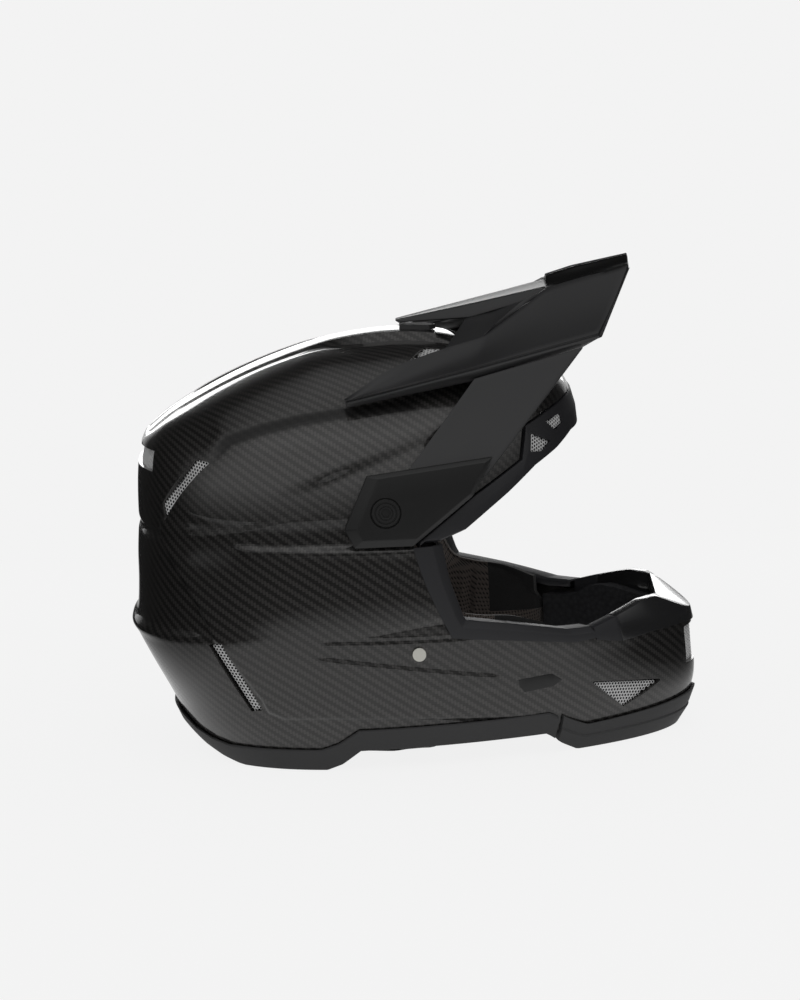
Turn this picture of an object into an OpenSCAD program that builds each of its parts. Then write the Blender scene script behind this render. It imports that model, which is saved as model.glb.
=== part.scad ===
// Full face mountain bike helmet, in millimetres.
// +X points forward out of the face, +Y to the wearer's left, +Z up.
// The helmet stands on z = 0 on its rear rims and its chin guard.

/* [Shell] */
// Half the width of the outer shell at its widest
half_w = 117.5; // [112:0.5:124]
// Height of the widest level above the table
wide_z = 150; // [146:1:154]
// Distance of the widest station behind the middle of the helmet
wide_back = 33; // [30:1:36]
// Rearmost reach of the shell behind the middle of the helmet
rear_reach = 176; // [170:1:182]
// Reach of the chin in front of the middle of the helmet
chin_reach = 178; // [172:1:184]
// Reach of the brow in front of the middle of the helmet
brow_reach = 108; // [104:1:112]
// Height of the top ridge at its highest
ridge_top = 263; // [259:1:267]
// Half the width of the flat top of the ridge
ridge_half = 12; // [9:0.5:14]
// Height of the ridge above the shoulders beside it
ridge_rise = 5; // [3:0.5:6]
// Wall of the shell
shell_t = 3; // [2:0.1:3.5]

/* [Trims] */
// Wall of the moulded trims
trim_t = 2; // [1.6:0.1:2.4]
// Running clearance between a trim and the shell
trim_gap = 0.55; // [0.5:0.05:0.7]
// Depth that the eyeport trim reaches inwards over the foam
trim_depth = 14; // [12:1:16]
// Height of the rubber base trim outside the shell
base_trim_h = 11; // [8:1:14]
// Height of the chin base guard outside the shell
chin_guard_h = 18; // [14:1:22]

/* [Mesh screens] */
// Thickness of the mesh screens
screen_t = 0.8; // [0.6:0.1:1.2]
// Pitch of the screen holes
hole_pitch = 5; // [4.6:0.2:7]
// Radius of the screen holes, corner to centre
hole_r = 2; // [1.2:0.1:2.2]
// Lap of a screen behind the edge of its vent
screen_lap = 2.5; // [1.5:0.5:3]

/* [Liners and pads] */
// Thickness of the cranial foam
eps_t = 32; // [28:1:34]
// Thickness of the chin bar foam
chin_eps_t = 15; // [12:1:18]
// Clearance between foam and shell
eps_gap = 0.5; // [0.4:0.1:0.9]
// Thickness of the crown comfort liner
liner_t = 7; // [5:1:9]
// Gap between cheek pad and shell, bridged by the snaps
pad_gap = 6.8; // [6.4:0.2:8]
// Thickness of a cheek pad at its edge
pad_edge_t = 15; // [12:1:18]
// Crown of a cheek pad over its edge
pad_crown = 13; // [8:1:16]
// Radius of a cheek pad snap
snap_r = 5; // [4:0.5:6]

/* [Straps] */
// Width of the chin strap webbing
strap_w = 20; // [16:1:24]
// Thickness of the webbing
strap_t = 1.6; // [1.2:0.1:2]
// Radius of the strap rivet's head
rivet_head_r = 4.2; // [3.6:0.1:5]
// Wire radius of the D-rings
ring_wire_r = 1.6; // [1.3:0.1:1.9]
// Inner length of a D-ring along its straight bar
ring_inner = 23; // [22:0.5:28]

/* [Visor] */
// Pivot of the visor in front of the widest station
pivot_front = 17; // [14:1:20]
// Pivot of the visor above the widest level
pivot_up = 18; // [15:1:21]
// Radius of the visor screw's head
screw_head_r = 9.4; // [8:0.1:10]
// Radius of the shoulder that the side plate turns on
shoulder_r = 4; // [3:0.1:5]
// Radial clearance of the side plate on the screw's shoulder
pivot_clear = 0.06; // [0.03:0.01:0.1]
// Radius of the visor screw's thread
thread_r = 2.5; // [2:0.1:3]
// Thickness of the visor side plates
plate_t = 5; // [4:0.2:6]
// Gap between the side plates and the widest part of the shell
plate_gap = 0.9; // [0.7:0.1:2]
// Thickness of the visor's panels
panel_t = 2.6; // [2.2:0.1:3]
// Length of the visor in front of the pivot, along X
visor_len = 159; // [150:1:166]

/* [Hidden] */

wide_x = -wide_back;
rear_x = -rear_reach;
carbon = [0.2, 0.2, 0.21];
matte_black = [0.12, 0.12, 0.13];
mesh_grey = [0.55, 0.55, 0.56];
foam_grey = [0.4, 0.4, 0.42];
cloth_grey = [0.3, 0.28, 0.27];

// Section profiles of the shell: each pair is a height and a reach past the named reach
rear_profile = [[-14, -48], [0, -38], [20, -26], [39, -18], [62, -6.5], [80, 2], [86, 4],
  [93, 1.5], [110, 0], [130, -0.5], [150, -2]];
chin_profile = [[-14, -28], [0, -15], [10, -8], [29, -1], [45, 0], [63, -1], [75, -2],
  [90, -10], [105, -28]];
brow_profile = [[122, 20], [136, 6], [150, 0]];
side_profile = [[-14, -31], [0, -24], [15, -18], [35, -11], [60, -6], [90, -2], [120, -0.3], [150, 0]];
front_squareness = [[0, 1.75], [80, 1.8], [110, 1.95], [150, 2.2]];
rear_squareness = [[0, 2.3], [80, 2.6], [150, 2.4]];
// The ridge line: stations along X and heights below its top
ridge_line = [[-150, -43], [-123, -27], [-97, -15], [-71, -7], [-44, -2], [-7, 0], [25, -3],
  [55, -12], [82, -25]];
ridge_front = 82;
ridge_rear = -150;
// Share of a growth by which the ridge's ends move too
ridge_shrink = 0.8;

function sgn(v) = v < 0 ? -1 : 1;
function power(v, p) = sgn(v) * pow(abs(v), p);
function clamp(v, lo, hi) = min(max(v, lo), hi);
function mix(a, b, t) = a + (b - a) * t;
function unit(v) = v / norm(v);

// Smooth value at v along a list of hand chosen pairs
function slope(p, k) = let(a = max(k - 1, 0), b = min(k + 1, len(p) - 1))
  (p[b][1] - p[a][1]) / (p[b][0] - p[a][0]);
function look(p, v, i = 0) =
  v <= p[0][0] ? p[0][1] :
  v >= p[len(p) - 1][0] ? p[len(p) - 1][1] :
  v > p[i + 1][0] ? look(p, v, i + 1) :
  let(h = p[i + 1][0] - p[i][0], t = (v - p[i][0]) / h, t2 = t * t, t3 = t2 * t)
    (2 * t3 - 3 * t2 + 1) * p[i][1] + (t3 - 2 * t2 + t) * h * slope(p, i)
    + (3 * t2 - 2 * t3) * p[i + 1][1] + (t3 - t2) * h * slope(p, i + 1);
// Straight value at v along a list of pairs
function line_at(p, v) = lookup(v, p);

// Heights in the profiles are given for a widest level of 150 and follow wide_z
profile_wide_z = 150;
function lift(z) = z * profile_wide_z / wide_z;
front_profile = concat([for (p = chin_profile) [p[0], chin_reach + p[1]]],
  [for (p = brow_profile) [p[0], brow_reach + p[1]]]);
function front_at(z) = look(front_profile, lift(z));
function rear_at(z) = rear_x - look(rear_profile, lift(z));
function half_at(z) = half_w + look(side_profile, lift(z));
function reach_at(z, a, g) = cos(a) > 0 ? front_at(z) + g - wide_x : wide_x - rear_at(z) + g;

// A point of the level section at height z and plan angle a, grown outwards by g
function ring(z, a, g) =
  let(n = look(cos(a) > 0 ? front_squareness : rear_squareness, lift(z)))
  [wide_x + reach_at(z, a, g) * power(cos(a), 2 / n), (half_at(z) + g) * power(sin(a), 2 / n), z];

// The ridge's foot above the widest level, at plan angle a
function foot(a, g) =
  let(e = ring(wide_z, a, g), xi = (e.x - wide_x) / reach_at(wide_z, a, g),
    x = wide_x + xi * ((xi > 0 ? ridge_front - wide_x : wide_x - ridge_rear) + ridge_shrink * g))
  [x, (ridge_half + ridge_rise) * clamp(sin(a) * 3, -1, 1), ridge_at(x) - ridge_rise + g];
function ridge_at(x) = ridge_top + look(ridge_line, x);
function dome_squareness(a) = 2.15 + (cos(a) > 0 ? 1.85 : 0.3) * pow(abs(cos(a)), 3);

// A point of the whole surface at plan angle a and height z, grown outwards by g
function surf(a, z, g) = z <= wide_z ? ring(z, a, g) :
  let(e = ring(wide_z, a, g), f = foot(a, g), m = dome_squareness(a),
    q = min(1, (z - wide_z) / (f.z - wide_z)), h = pow(1 - pow(q, m), 1 / m))
  [mix(f.x, e.x, h), mix(f.y, e.y, h), mix(wide_z, f.z, q)];
// A point at fraction q of the way from the widest level up to the ridge's foot
function dome(a, q, g) = surf(a, mix(wide_z, foot(a, g).z, q), g);
// The plan angle at which the surface passes through x at height z
function angle_at(x, z, lo = 0, hi = 180, n = 16) =
  n == 0 ? (lo + hi) / 2 :
  surf((lo + hi) / 2, z, 0).x > x ? angle_at(x, z, (lo + hi) / 2, hi, n - 1)
    : angle_at(x, z, lo, (lo + hi) / 2, n - 1);
// The point of the surface that shows at x and z from the side, grown by g
function seen(p, g) = let(a = angle_at(p[0], p[1]))
  p[1] <= wide_z ? ring(p[1], a, g) : dome(a, (p[1] - wide_z) / (foot(a, 0).z - wide_z), g);

// A closed solid through sections of equally many points, whose first half and second half
// run beside each other in opposite directions
function volume(pts, faces) = [for (f = faces) pts[f[0]] * cross(pts[f[1]], pts[f[2]])]
  * [for (f = faces) 1];
function turned(f) = [f[0], f[2], f[1]];
module loft(secs) {
  n = len(secs);
  k = len(secs[0]);
  pts = [for (s = secs) each s];
  sides = [for (i = [0:n - 2]) for (j = [0:k - 1])
    let(a = i * k + j, b = i * k + (j + 1) % k, c = b + k, d = a + k) each [[a, b, c], [a, c, d]]];
  caps = [for (j = [0:k / 2 - 2]) let(p = j, q = k - 1 - j)
    each [[p, q, q - 1], [p, q - 1, p + 1]]];
  far = (n - 1) * k;
  ends = [for (f = caps) each [f, turned(f + [far, far, far])]];
  faces = concat(sides, ends);
  good = volume(pts, faces) < 0;
  polyhedron(pts, good ? faces : [for (f = faces) turned(f)]);
}
module both() {
  children();
  mirror([0, 1, 0]) children();
}
// An outline in the side view, cut right through the helmet
module side_prism(outline) {
  rotate([90, 0, 0]) linear_extrude(height = 3 * half_w, center = true) polygon(outline);
}

// Side view outlines, as pairs of x and z. Ends that run out past the helmet follow its reach, and
// what lies at the chin or at the rear keeps its distance from them.
outline_over = 14;
out_x = chin_reach + outline_over;
behind_x = rear_x - outline_over;
pillar_outer = [[0, 146], [6, 123], [15, 100], [22, 85]];
lower_outer = [[22, 85], [70, 78], [99, 73], [117, 74], [128, 81], [141, 83], [162, 80], [out_x, 78]];
brow_outer = [[0, 146], [37, 173], [68, 191], [71, 211], [86, 217], [100, 222], [out_x, 222]];
brow_inner = [[16, 147], [34, 153], [48, 163], [61, 172], [78, 185], [92, 192], [102, 199],
  [out_x, 203]];
base_line = [[behind_x, 34], [rear_x + 26, 20], [rear_x + 38, 10], [rear_x + 49, 4], [rear_x + 61, 0],
  [-60, 0], [-50, 4], [-38, 13], [80, 14], [90, 6], [100, 0], [out_x, 0]];
// Gap between the shell's lower edge and the floor of the trims, which stand on z = 0
edge_gap = trim_gap + 0.6;
shell_base_lift = trim_t + edge_gap;
eye_outline = concat(pillar_outer, [for (i = [1:len(lower_outer) - 1]) lower_outer[i]],
  [for (i = [len(brow_outer) - 1:-1:1]) brow_outer[i]]);
rear_upper_vent = [[rear_x + 52, 196], [rear_x + 46, 196], [rear_x + 23, 166], [rear_x + 25, 160]];
rear_lower_vent = [[rear_x + 47, 84], [rear_x + 55, 85], [rear_x + 77, 42], [rear_x + 71, 41]];
crown_vent = [[0, 249], [14, 256], [24, 254], [18, 250]];
chin_side_vent = [[chin_reach - 68, 44], [chin_reach - 49, 25], [chin_reach - 25, 37]];
brow_vent_low = [[76, 203], [84, 199], [80, 193], [75, 195]];
brow_vent_high = [[87, 208], [95, 210], [95, 205], [90, 203]];
vent_depth = 9;

around = 60;
foam_around = 40;
// The whole closed form of the helmet, grown by g, with or without its ridge
module form(g, rows, domes, n, ridge = true) {
  step = 360 / n;
  low = [for (z = rows) [for (i = [0:n - 1]) ring(z, (i + 0.5) * step, g)]];
  up = [for (q = domes) [for (i = [0:n - 1]) dome((i + 0.5) * step, q, g)]];
  crest = [for (i = [0:n - 1]) let(f = foot((i + 0.5) * step, g),
    rise = ridge_rise * clamp((ridge_front - f.x) / 40, 0.02, 1))
    [f.x, f.y * ridge_half / (ridge_half + ridge_rise), f.z + rise]];
  loft(concat(low, up, ridge ? [crest] : []));
}
outer_rows = [-14, 0, 7, 15, 26, 40, 54, 68, 80, 86, 93, 106, 120, 135, 150];
inner_rows = [-14, 0, 7, 15, 26, 40, 60, 80, 100, 125, 150];
fine_domes = [0.14, 0.28, 0.42, 0.55, 0.67, 0.78, 0.87, 0.94, 0.98, 1];
coarse_domes = [0.2, 0.4, 0.6, 0.76, 0.88, 0.95, 0.98, 0.995, 1];

// A hole through the wall behind a side view outline
module vent_hull(outline, out, in, r) {
  hull() for (p = outline) for (g = [out, -in]) translate(seen(p, g)) sphere(r, $fn = 6);
}
module vent_cuts(in, grow) {
  both() vent_hull(rear_upper_vent, 4, in, grow);
  both() vent_hull(rear_lower_vent, 4, in, grow);
  both() vent_hull(crown_vent, 6, in, grow);
  both() vent_hull(chin_side_vent, 4, in, grow);
}
exhaust_half_angle = 7;
exhaust_z = [184, 197];
front_vent_angle = 13;
front_vent_z = [42, 66];
function wedge(mid, spread, z, g, n = 1) =
  [for (i = [0:n]) for (h = z) surf(mid + 0.01 + spread * (2 * i / n - 1), h, g)];
module wedge_hull(mid, spread, z, out, in, r) {
  hull() for (g = [out, -in]) for (p = wedge(mid, spread, z, g, 4)) translate(p) sphere(r, $fn = 6);
}
module end_cuts(in, grow) {
  wedge_hull(180, exhaust_half_angle, exhaust_z, 4, in, grow);
  wedge_hull(0, front_vent_angle, front_vent_z, 4, in, grow);
}
module below(lifted) {
  side_prism(concat([for (p = base_line) [p[0], p[1] + lifted]], [[out_x, -60], [behind_x, -60]]));
}

pivot = [wide_x + pivot_front, 0, wide_z + pivot_up];
seat_y = seen([pivot.x, pivot.z], 0).y - 0.6;
seat_r = screw_head_r + 2;
module at_pivot(y) {
  translate([pivot.x, y, pivot.z]) rotate([-90, 0, 0]) children();
}
rivet_at = seen([1, 76], 0);
rivet_shaft_r = 2.4;
rivet_clear = 0.1;

// Panels that stand out of the shell, and the wedge that is sunk into it, as side view outlines
upper_rise = 1.6;
side_rise = 0.7;
wedge_sink = 0.7;
ledge = [[rear_x + 12, 199], [rear_x + 26, 199], [rear_x + 49, 198], [rear_x + 64, 211], [-90, 218],
  [-67, 223], [-34, 227.5], [10, 229], [46, 231]];
// The upper panel ends this far under the top of the ridge
ridge_foot = ridge_rise + 1;
upper_panel = concat(ledge,
  [for (x = [46, 25, -7, -44, -71, -97, -123, -150]) [x, ridge_at(x) - ridge_foot]]);
crease = [[rear_x + 22, 165], [rear_x + 18, 149], [rear_x + 27, 132], [rear_x + 45, 100], [-126, 88],
  [-121, 82], [-98, 49], [-94, 40], [-84, 36], [-56, 36], [-13, 34], [37, 31], [80, 31]];
side_panel = concat(crease, [[88, 74], [28, 83], [15, 100], [6, 123], [0, 142], [-51, 143.5], [-95, 146.5],
  [-125, 149], [-140, 154]]);
sunk_wedge = [[-59, 88], [-23, 90.5], [27, 97.5], [38, 100], [34, 85], [-11, 85.5]];
module raised_panel(outline, rise) {
  intersection() {
    form(rise, outer_rows, fine_domes, around);
    side_prism(outline);
  }
}

module outer_shell() {
  color(carbon) difference() {
    union() {
      form(0, outer_rows, fine_domes, around);
      raised_panel(upper_panel, upper_rise);
      raised_panel(side_panel, side_rise);
    }
    form(-shell_t, inner_rows, coarse_domes, around, ridge = false);
    difference() {
      side_prism(sunk_wedge);
      form(side_rise - wedge_sink * 2, [60, 75, 80, 86, 93, 106, 120], [], around, ridge = false);
    }
    side_prism(eye_outline);
    below(shell_base_lift);
    vent_cuts(vent_depth, 0.8);
    end_cuts(vent_depth, 0.8);
    both() at_pivot(seat_y) cylinder(h = 20, r = seat_r, $fn = 40);
    both() at_pivot(seat_y - 10) cylinder(h = 20, r = insert_r + 0.2, $fn = 24);
    both() translate([rivet_at.x, rivet_at.y - 10, rivet_at.z]) rotate([-90, 0, 0])
      cylinder(h = 20, r = rivet_shaft_r + rivet_clear, $fn = 24);
  }
}

// A wall swept along the shell's edge: each leg point is a growth and a distance from the edge
function edge_section(a, z, dx, dz, s, outer, inner) =
  [for (p = concat(outer, [for (i = [len(inner) - 1:-1:0]) inner[i]]))
    let(h = z + p[1] * s * dz, t = a - p[1] * s * dx * 57.3 / reach_at(z, 0, 0))
    surf(t, h, p[0])];

eye_outer_leg = [[0.9, 0.3], [0.9, 7], [-3, 12], [-trim_depth, 12.5], [-trim_depth - 2, 10],
  [-trim_depth - 2, 5]];
eye_inner_leg = [[0.9 - trim_t, 0.3], [0.9 - trim_t, 6.4], [-4.4, 10], [1.4 - trim_depth, 10.4],
  [-trim_depth, 9], [-trim_depth, 5]];
// Width of the trim along the lower run, as a factor of its profile
lower_width = [[22, 1.0], [64, 0.9], [96, 0.75], [112, 0.62], [116, 0.68], [122, 1.1], [127, 0.9]];
lip_start = 127;
module eyeport_half() {
  lower = [for (x = [lip_start, 122, 117, 112, 106, 98, 88, 76, 64, 52, 42, 33])
    let(z = line_at(lower_outer, x)) [angle_at(x, z), z, 0, 1, line_at(lower_width, x)]];
  corner = [[angle_at(22, 85), 85, 0.85, 0.75, 1.15]];
  pillar = [for (z = [97, 108, 120, 132, 144])
    let(x = line_at([for (p = [3, 2, 1, 0]) [pillar_outer[p][1], pillar_outer[p][0]]], z))
    [angle_at(x, z), z, 1, z > 140 ? 0 : 0.15, mix(1.15, 1.6, (z - 85) / 60)]];
  loft([for (s = concat(lower, corner, pillar))
    edge_section(s[0], s[1], s[2], s[3], s[4], eye_outer_leg, eye_inner_leg)]);
}
module eyeport_trim() {
  color(matte_black) both() eyeport_half();
}

// The chin lip closes the front of the eyeport between the two raised corners
lip_outer_leg = [[1.5, 0.3], [2.5, 5], [-1, 10], [-trim_depth + 2, 8], [-trim_depth, 4]];
lip_inner_leg = [[1.5 - trim_t, 0.3], [0.5, 4.4], [-2, 7.8], [-trim_depth + 3, 6], [-trim_depth + 2, 4]];
lip_angle = angle_at(lip_start + 1, 81);
lip_steps = 12;
module chin_lip() {
  color(matte_black) loft([for (i = [-lip_steps:lip_steps])
    let(a = 0.01 + i * lip_angle / lip_steps, x = surf(a, 80, 0).x, z = line_at(lower_outer, x),
      s = mix(0.35, 1.05, clamp(abs(a) / 25, 0, 1)))
    edge_section(a, z, 0, 1, s, lip_outer_leg, lip_inner_leg)]);
}

brow_gap = 0.4;
// Depth of the brow frame's shelf inside the shell's surface
brow_in = 24;
// Stations along the brow frame's upper edge, clear of the shell's cut edge
brow_edge = [for (p = brow_outer) [p[0] + 4 * brow_gap, p[1] - brow_gap]];
brow_side_x = [4, 10, 17, 27, 38.6, 46, 54, 62, 69.6, 72.6, 77, 82, 87.6, 93, 98];
brow_front_a = [19, 15, 11, 7, 2.5];
brow_stations = concat([for (x = brow_side_x) let(z = line_at(brow_edge, x)) [angle_at(x, z), z]],
  [for (a = brow_front_a) [a, line_at(brow_edge, surf(a, 221, 0).x)]]);
function brow_section(a, z2) =
  let(x0 = surf(a, z2 - 20, 0).x, x1 = surf(a, line_at(brow_inner, x0), 0).x,
    z1 = min(line_at(brow_inner, x1), z2 - 3), mid = mix(z1, z2, 0.5))
  [surf(a, z2, 0.6), surf(a, mid, 1), surf(a, z1 + 1, 0.8), surf(a, z1 - 1.2, -3),
    surf(a, z1 + 2, -brow_in), surf(a, z1 + 8, -brow_in),
    surf(a, z1 + 8, trim_t - brow_in), surf(a, z1 + 4, trim_t - brow_in),
    surf(a, z1 + 1, -4), surf(a, z1 + 3, 0.8 - trim_t - 0.4), surf(a, mid, 1 - trim_t - 0.4),
    surf(a, z2, 0.6 - trim_t - 0.4)];
module brow_frame() {
  right = [for (p = brow_stations) brow_section(p[0], p[1])];
  left = [for (i = [len(brow_stations) - 1:-1:0]) brow_section(-brow_stations[i][0], brow_stations[i][1])];
  color(matte_black) difference() {
    loft(concat(right, left));
    both() vent_hull(brow_vent_low, 4, 3.5, 0.6);
    both() vent_hull(brow_vent_high, 4, 3.5, 0.6);
  }
}

base_bottom = -shell_base_lift;
function base_outer(h) = [[trim_gap + trim_t, h], [trim_gap + trim_t, base_bottom],
  [-shell_t - trim_gap - trim_t, base_bottom], [-shell_t - trim_gap - trim_t, 6]];
function base_inner(h) = [[trim_gap, h], [trim_gap, -edge_gap], [-shell_t - trim_gap, -edge_gap],
  [-shell_t - trim_gap, 6]];
trim_break = 84;
break_angle = angle_at(trim_break, 16);
// Height of the shell's lower edge at plan angle a, where the wall is grown by g
function base_edge(a, g, z = 14, n = 4) = n == 0 ? z :
  base_edge(a, g, line_at(base_line, surf(a, z, g).x) + shell_base_lift, n - 1);
function base_section(a, outer, inner) =
  [for (p = concat(outer, [for (i = [len(inner) - 1:-1:0]) inner[i]]))
    surf(a, base_edge(a, p[0]) + p[1], p[0])];
// Stations of the base trim: its places along the side, then plan angles round the back
base_side_x = [trim_break, 72, 60, 48, 36, 24, 12, 0, -12, -25, -38, -44, -50, -55, -60, -72, -86, -100,
  -115, -121, -127, -133, -138];
base_rear_a = [157, 163, 168, 173, 177.5];
base_angles = concat([for (x = base_side_x) angle_at(x, line_at(base_line, x) + shell_base_lift)],
  base_rear_a);
module base_trim() {
  all_angles = concat(base_angles, [for (i = [len(base_angles) - 1:-1:0]) 360 - base_angles[i]]);
  color(matte_black) loft([for (a = all_angles)
    base_section(a, base_outer(base_trim_h), base_inner(base_trim_h))]);
}
guard_steps = 14;
guard_groove = 1.2;
function guard_outer(h) = let(g = trim_gap + trim_t + 0.6)
  [[g - 0.6, h], [g - 0.6, h / 2], [g - guard_groove, h / 2 - 1], [g, h / 2 - 2], [g, base_bottom],
    [-shell_t - trim_gap - trim_t, base_bottom], [-shell_t - trim_gap - trim_t, 6]];
function guard_inner(h) = [[trim_gap, h], [trim_gap, h / 2], [trim_gap, h / 2 - 1],
  [trim_gap, h / 2 - 2], [trim_gap, -edge_gap], [-shell_t - trim_gap, -edge_gap],
  [-shell_t - trim_gap, 6]];
module chin_base_guard() {
  span = break_angle - 1;
  color(matte_black) loft([for (i = [-guard_steps:guard_steps])
    let(a = 0.01 + i * span / guard_steps, h = chin_guard_h * mix(1.15, 0.75, clamp(abs(a) / 45, 0, 1)))
    base_section(a, guard_outer(h), guard_inner(h))]);
}

// A flat mesh plate behind a vent, in the plane of its corners
function middle(pts) = [for (p = pts) 1] * pts / len(pts);
function grown(pts, d) = let(c = middle(pts)) [for (p = pts) p + d * unit(p - c)];
function left_of(p, a, b) = let(u = b - a) (u.x * (p.y - a.y) - u.y * (p.x - a.x)) / norm(u);
function clear_of(p, pts) = min([for (i = [0:len(pts) - 1])
  abs(left_of(p, pts[i], pts[(i + 1) % len(pts)]))]);
function inside(p, pts) = let(s = [for (i = [0:len(pts) - 1])
  left_of(p, pts[i], pts[(i + 1) % len(pts)])]) max(s) < 0 || min(s) > 0;
module plane_plate(corners) {
  o = middle(corners);
  n0 = unit(cross(corners[1] - o, corners[0] - o));
  n = n0 * sgn(n0 * (o - [wide_x, 0, 100]));
  u = unit(corners[len(corners) > 3 ? 3 : 2] - corners[0]);
  u1 = unit(u - n * (u * n));
  v = cross(n, u1);
  flat = [for (p = corners) [(p - o) * u1, (p - o) * v]];
  outline = grown(flat, screen_lap);
  span = ceil(max([for (p = outline) norm(p)]) / hole_pitch);
  holes = [for (i = [-span:span]) for (j = [-span:span])
    let(p = [(i + 0.5 * (abs(j) % 2)) * hole_pitch, j * hole_pitch * 0.87])
    if (inside(p, outline) && clear_of(p, outline) > hole_r + 0.5) p];
  multmatrix([[u1.x, v.x, n.x, o.x], [u1.y, v.y, n.y, o.y], [u1.z, v.z, n.z, o.z], [0, 0, 0, 1]])
    translate([0, 0, -screen_t]) linear_extrude(height = screen_t) difference() {
      polygon(outline);
      for (p = holes) translate(p) circle(hole_r, $fn = 6);
    }
}
screen_in = 0.3;
function behind(outline, extra) = [for (p = outline) seen(p, -shell_t - screen_in - extra)];
module side_screen(outline, extra, side) {
  color(mesh_grey) mirror([0, side > 0 ? 0 : 1, 0]) plane_plate(behind(outline, extra));
}
module rear_upper_screen_left() side_screen(rear_upper_vent, 0.8, 1);
module rear_upper_screen_right() side_screen(rear_upper_vent, 0.8, -1);
module rear_lower_screen_left() side_screen(rear_lower_vent, 1.4, 1);
module rear_lower_screen_right() side_screen(rear_lower_vent, 1.4, -1);
module crown_screen_left() side_screen(crown_vent, 0.6, 1);
module crown_screen_right() side_screen(crown_vent, 0.6, -1);
module chin_side_screen_left() side_screen(chin_side_vent, 0.6, 1);
module chin_side_screen_right() side_screen(chin_side_vent, 0.6, -1);
module brow_screens() {
  color(mesh_grey) both() {
    plane_plate([for (p = brow_vent_low) seen(p, -2.6)]);
    plane_plate([for (p = brow_vent_high) seen(p, -2.6)]);
  }
}
module chin_front_screen() {
  w = wedge(0, front_vent_angle, front_vent_z, -shell_t - 1.9);
  color(mesh_grey) plane_plate([w[0], w[1], w[3], w[2]]);
}
module rear_exhaust_screen() {
  w = wedge(180, exhaust_half_angle, exhaust_z, -shell_t - 0.9);
  color(mesh_grey) plane_plate([w[0], w[1], w[3], w[2]]);
}

// Foam behind the shell, from the brow and the ears up and back to the nape
foam_low_z = 52;
foam_edge = [[out_x, 216], [82, 216], [76, 212], [66, 203], [56, 194], [44, 184], [32, 175], [20, 168],
  [0, 160], [-20, 145], [-52, 121], [-60, 60], [-74, foam_low_z], [behind_x, foam_low_z],
  [behind_x, -60], [out_x, -60]];
foam_g = -shell_t - eps_gap;
foam_rows = [-16, 20, 50, 80, 110, 130, 150];
module cranial_foam() {
  color(foam_grey) difference() {
    form(foam_g, foam_rows, coarse_domes, foam_around, ridge = false);
    form(foam_g - eps_t, foam_rows, coarse_domes, foam_around, ridge = false);
    side_prism(foam_edge);
    vent_cuts(16, 5);
    end_cuts(10, 5);
    both() at_pivot(seat_y - 16) cylinder(h = 40, r = insert_flange_r + 2, $fn = 24);
  }
}
function wall(a, z1, z2, g1, g2, n) = concat([for (i = [0:n]) surf(a, mix(z1, z2, i / n), g1)],
  [for (i = [n:-1:0]) surf(a, mix(z1, z2, i / n), g2)]);
chin_foam_angles = [for (i = [-12:12]) 0.01 + i * 4.15];
module chin_foam() {
  color(foam_grey) difference() {
    loft([for (a = chin_foam_angles) let(x = surf(a, 50, 0).x,
      z1 = line_at(base_line, x) + shell_base_lift + 8, z2 = line_at(lower_outer, x) - 2)
      wall(a, z1, z2, foam_g - trim_t - 0.4, foam_g - chin_eps_t, 3)]);
    both() vent_hull(chin_side_vent, 0, 11, 4);
    wedge_hull(0, front_vent_angle, front_vent_z, 0, 8, 4);
    wedge_hull(0, front_vent_angle - 3, [46, 62], 0, 40, 3);
  }
}

// A padded bowl inside the crown, quilted by shallow channels
liner_g = foam_g - eps_t - 1.4;
liner_steps = [0, 0.12, 0.3, 0.46, 0.6, 0.72, 0.82, 0.9];
quilt_depth = 1.6;
// Drop of the cavity's copy that opens the bowl at the bottom
liner_lip = 6;
liner_around = 32;
// Lower edge of the comfort liner, as x and height
liner_edge = [[-130, 112], [-60, 130], [-20, 150], [6, 162], [30, 173], [48, 186], [60, 196]];
function liner_point(a, t, g, quilt) =
  let(z1 = line_at(liner_edge, ring(wide_z, a, g).x), z = mix(z1, foot(a, g).z, t))
  surf(a, z, g + quilt * abs(sin(a * 4)) * sin(180 * t));
module liner_bowl(g, quilt) {
  loft([for (t = liner_steps) [for (i = [0:liner_around - 1])
    liner_point((i + 0.5) * 360 / liner_around, t, g, quilt)]]);
}
module crown_comfort_liner() {
  color(cloth_grey) difference() {
    liner_bowl(liner_g, 0);
    liner_bowl(liner_g - liner_t, quilt_depth);
    translate([0, 0, -liner_lip]) liner_bowl(liner_g - liner_t - 0.5, 0);
  }
}

// Cheek pad: crowned towards the face, with a drawn-in edge and one channel
pad_g = -shell_t - pad_gap;
pad_top = [[-46, 100], [-38, 122], [-20, 133], [0, 137], [14, 133], [24, 116], [33, 99], [46, 94],
  [70, 91], [92, 84]];
pad_bottom = [[-46, 40], [-36, 28], [-10, 26], [60, 27], [84, 30], [92, 34]];
pad_cols = 20;
pad_rows = 12;
channel_at = 0.42;
function bulge(u, v) = pow(sin(180 * clamp(u, 0.0, 1)), 0.5) * pow(sin(180 * clamp(v, 0.0, 1)), 0.5);
function channel(v) = 3 * exp(-pow((v - channel_at) / 0.05, 2));
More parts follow.
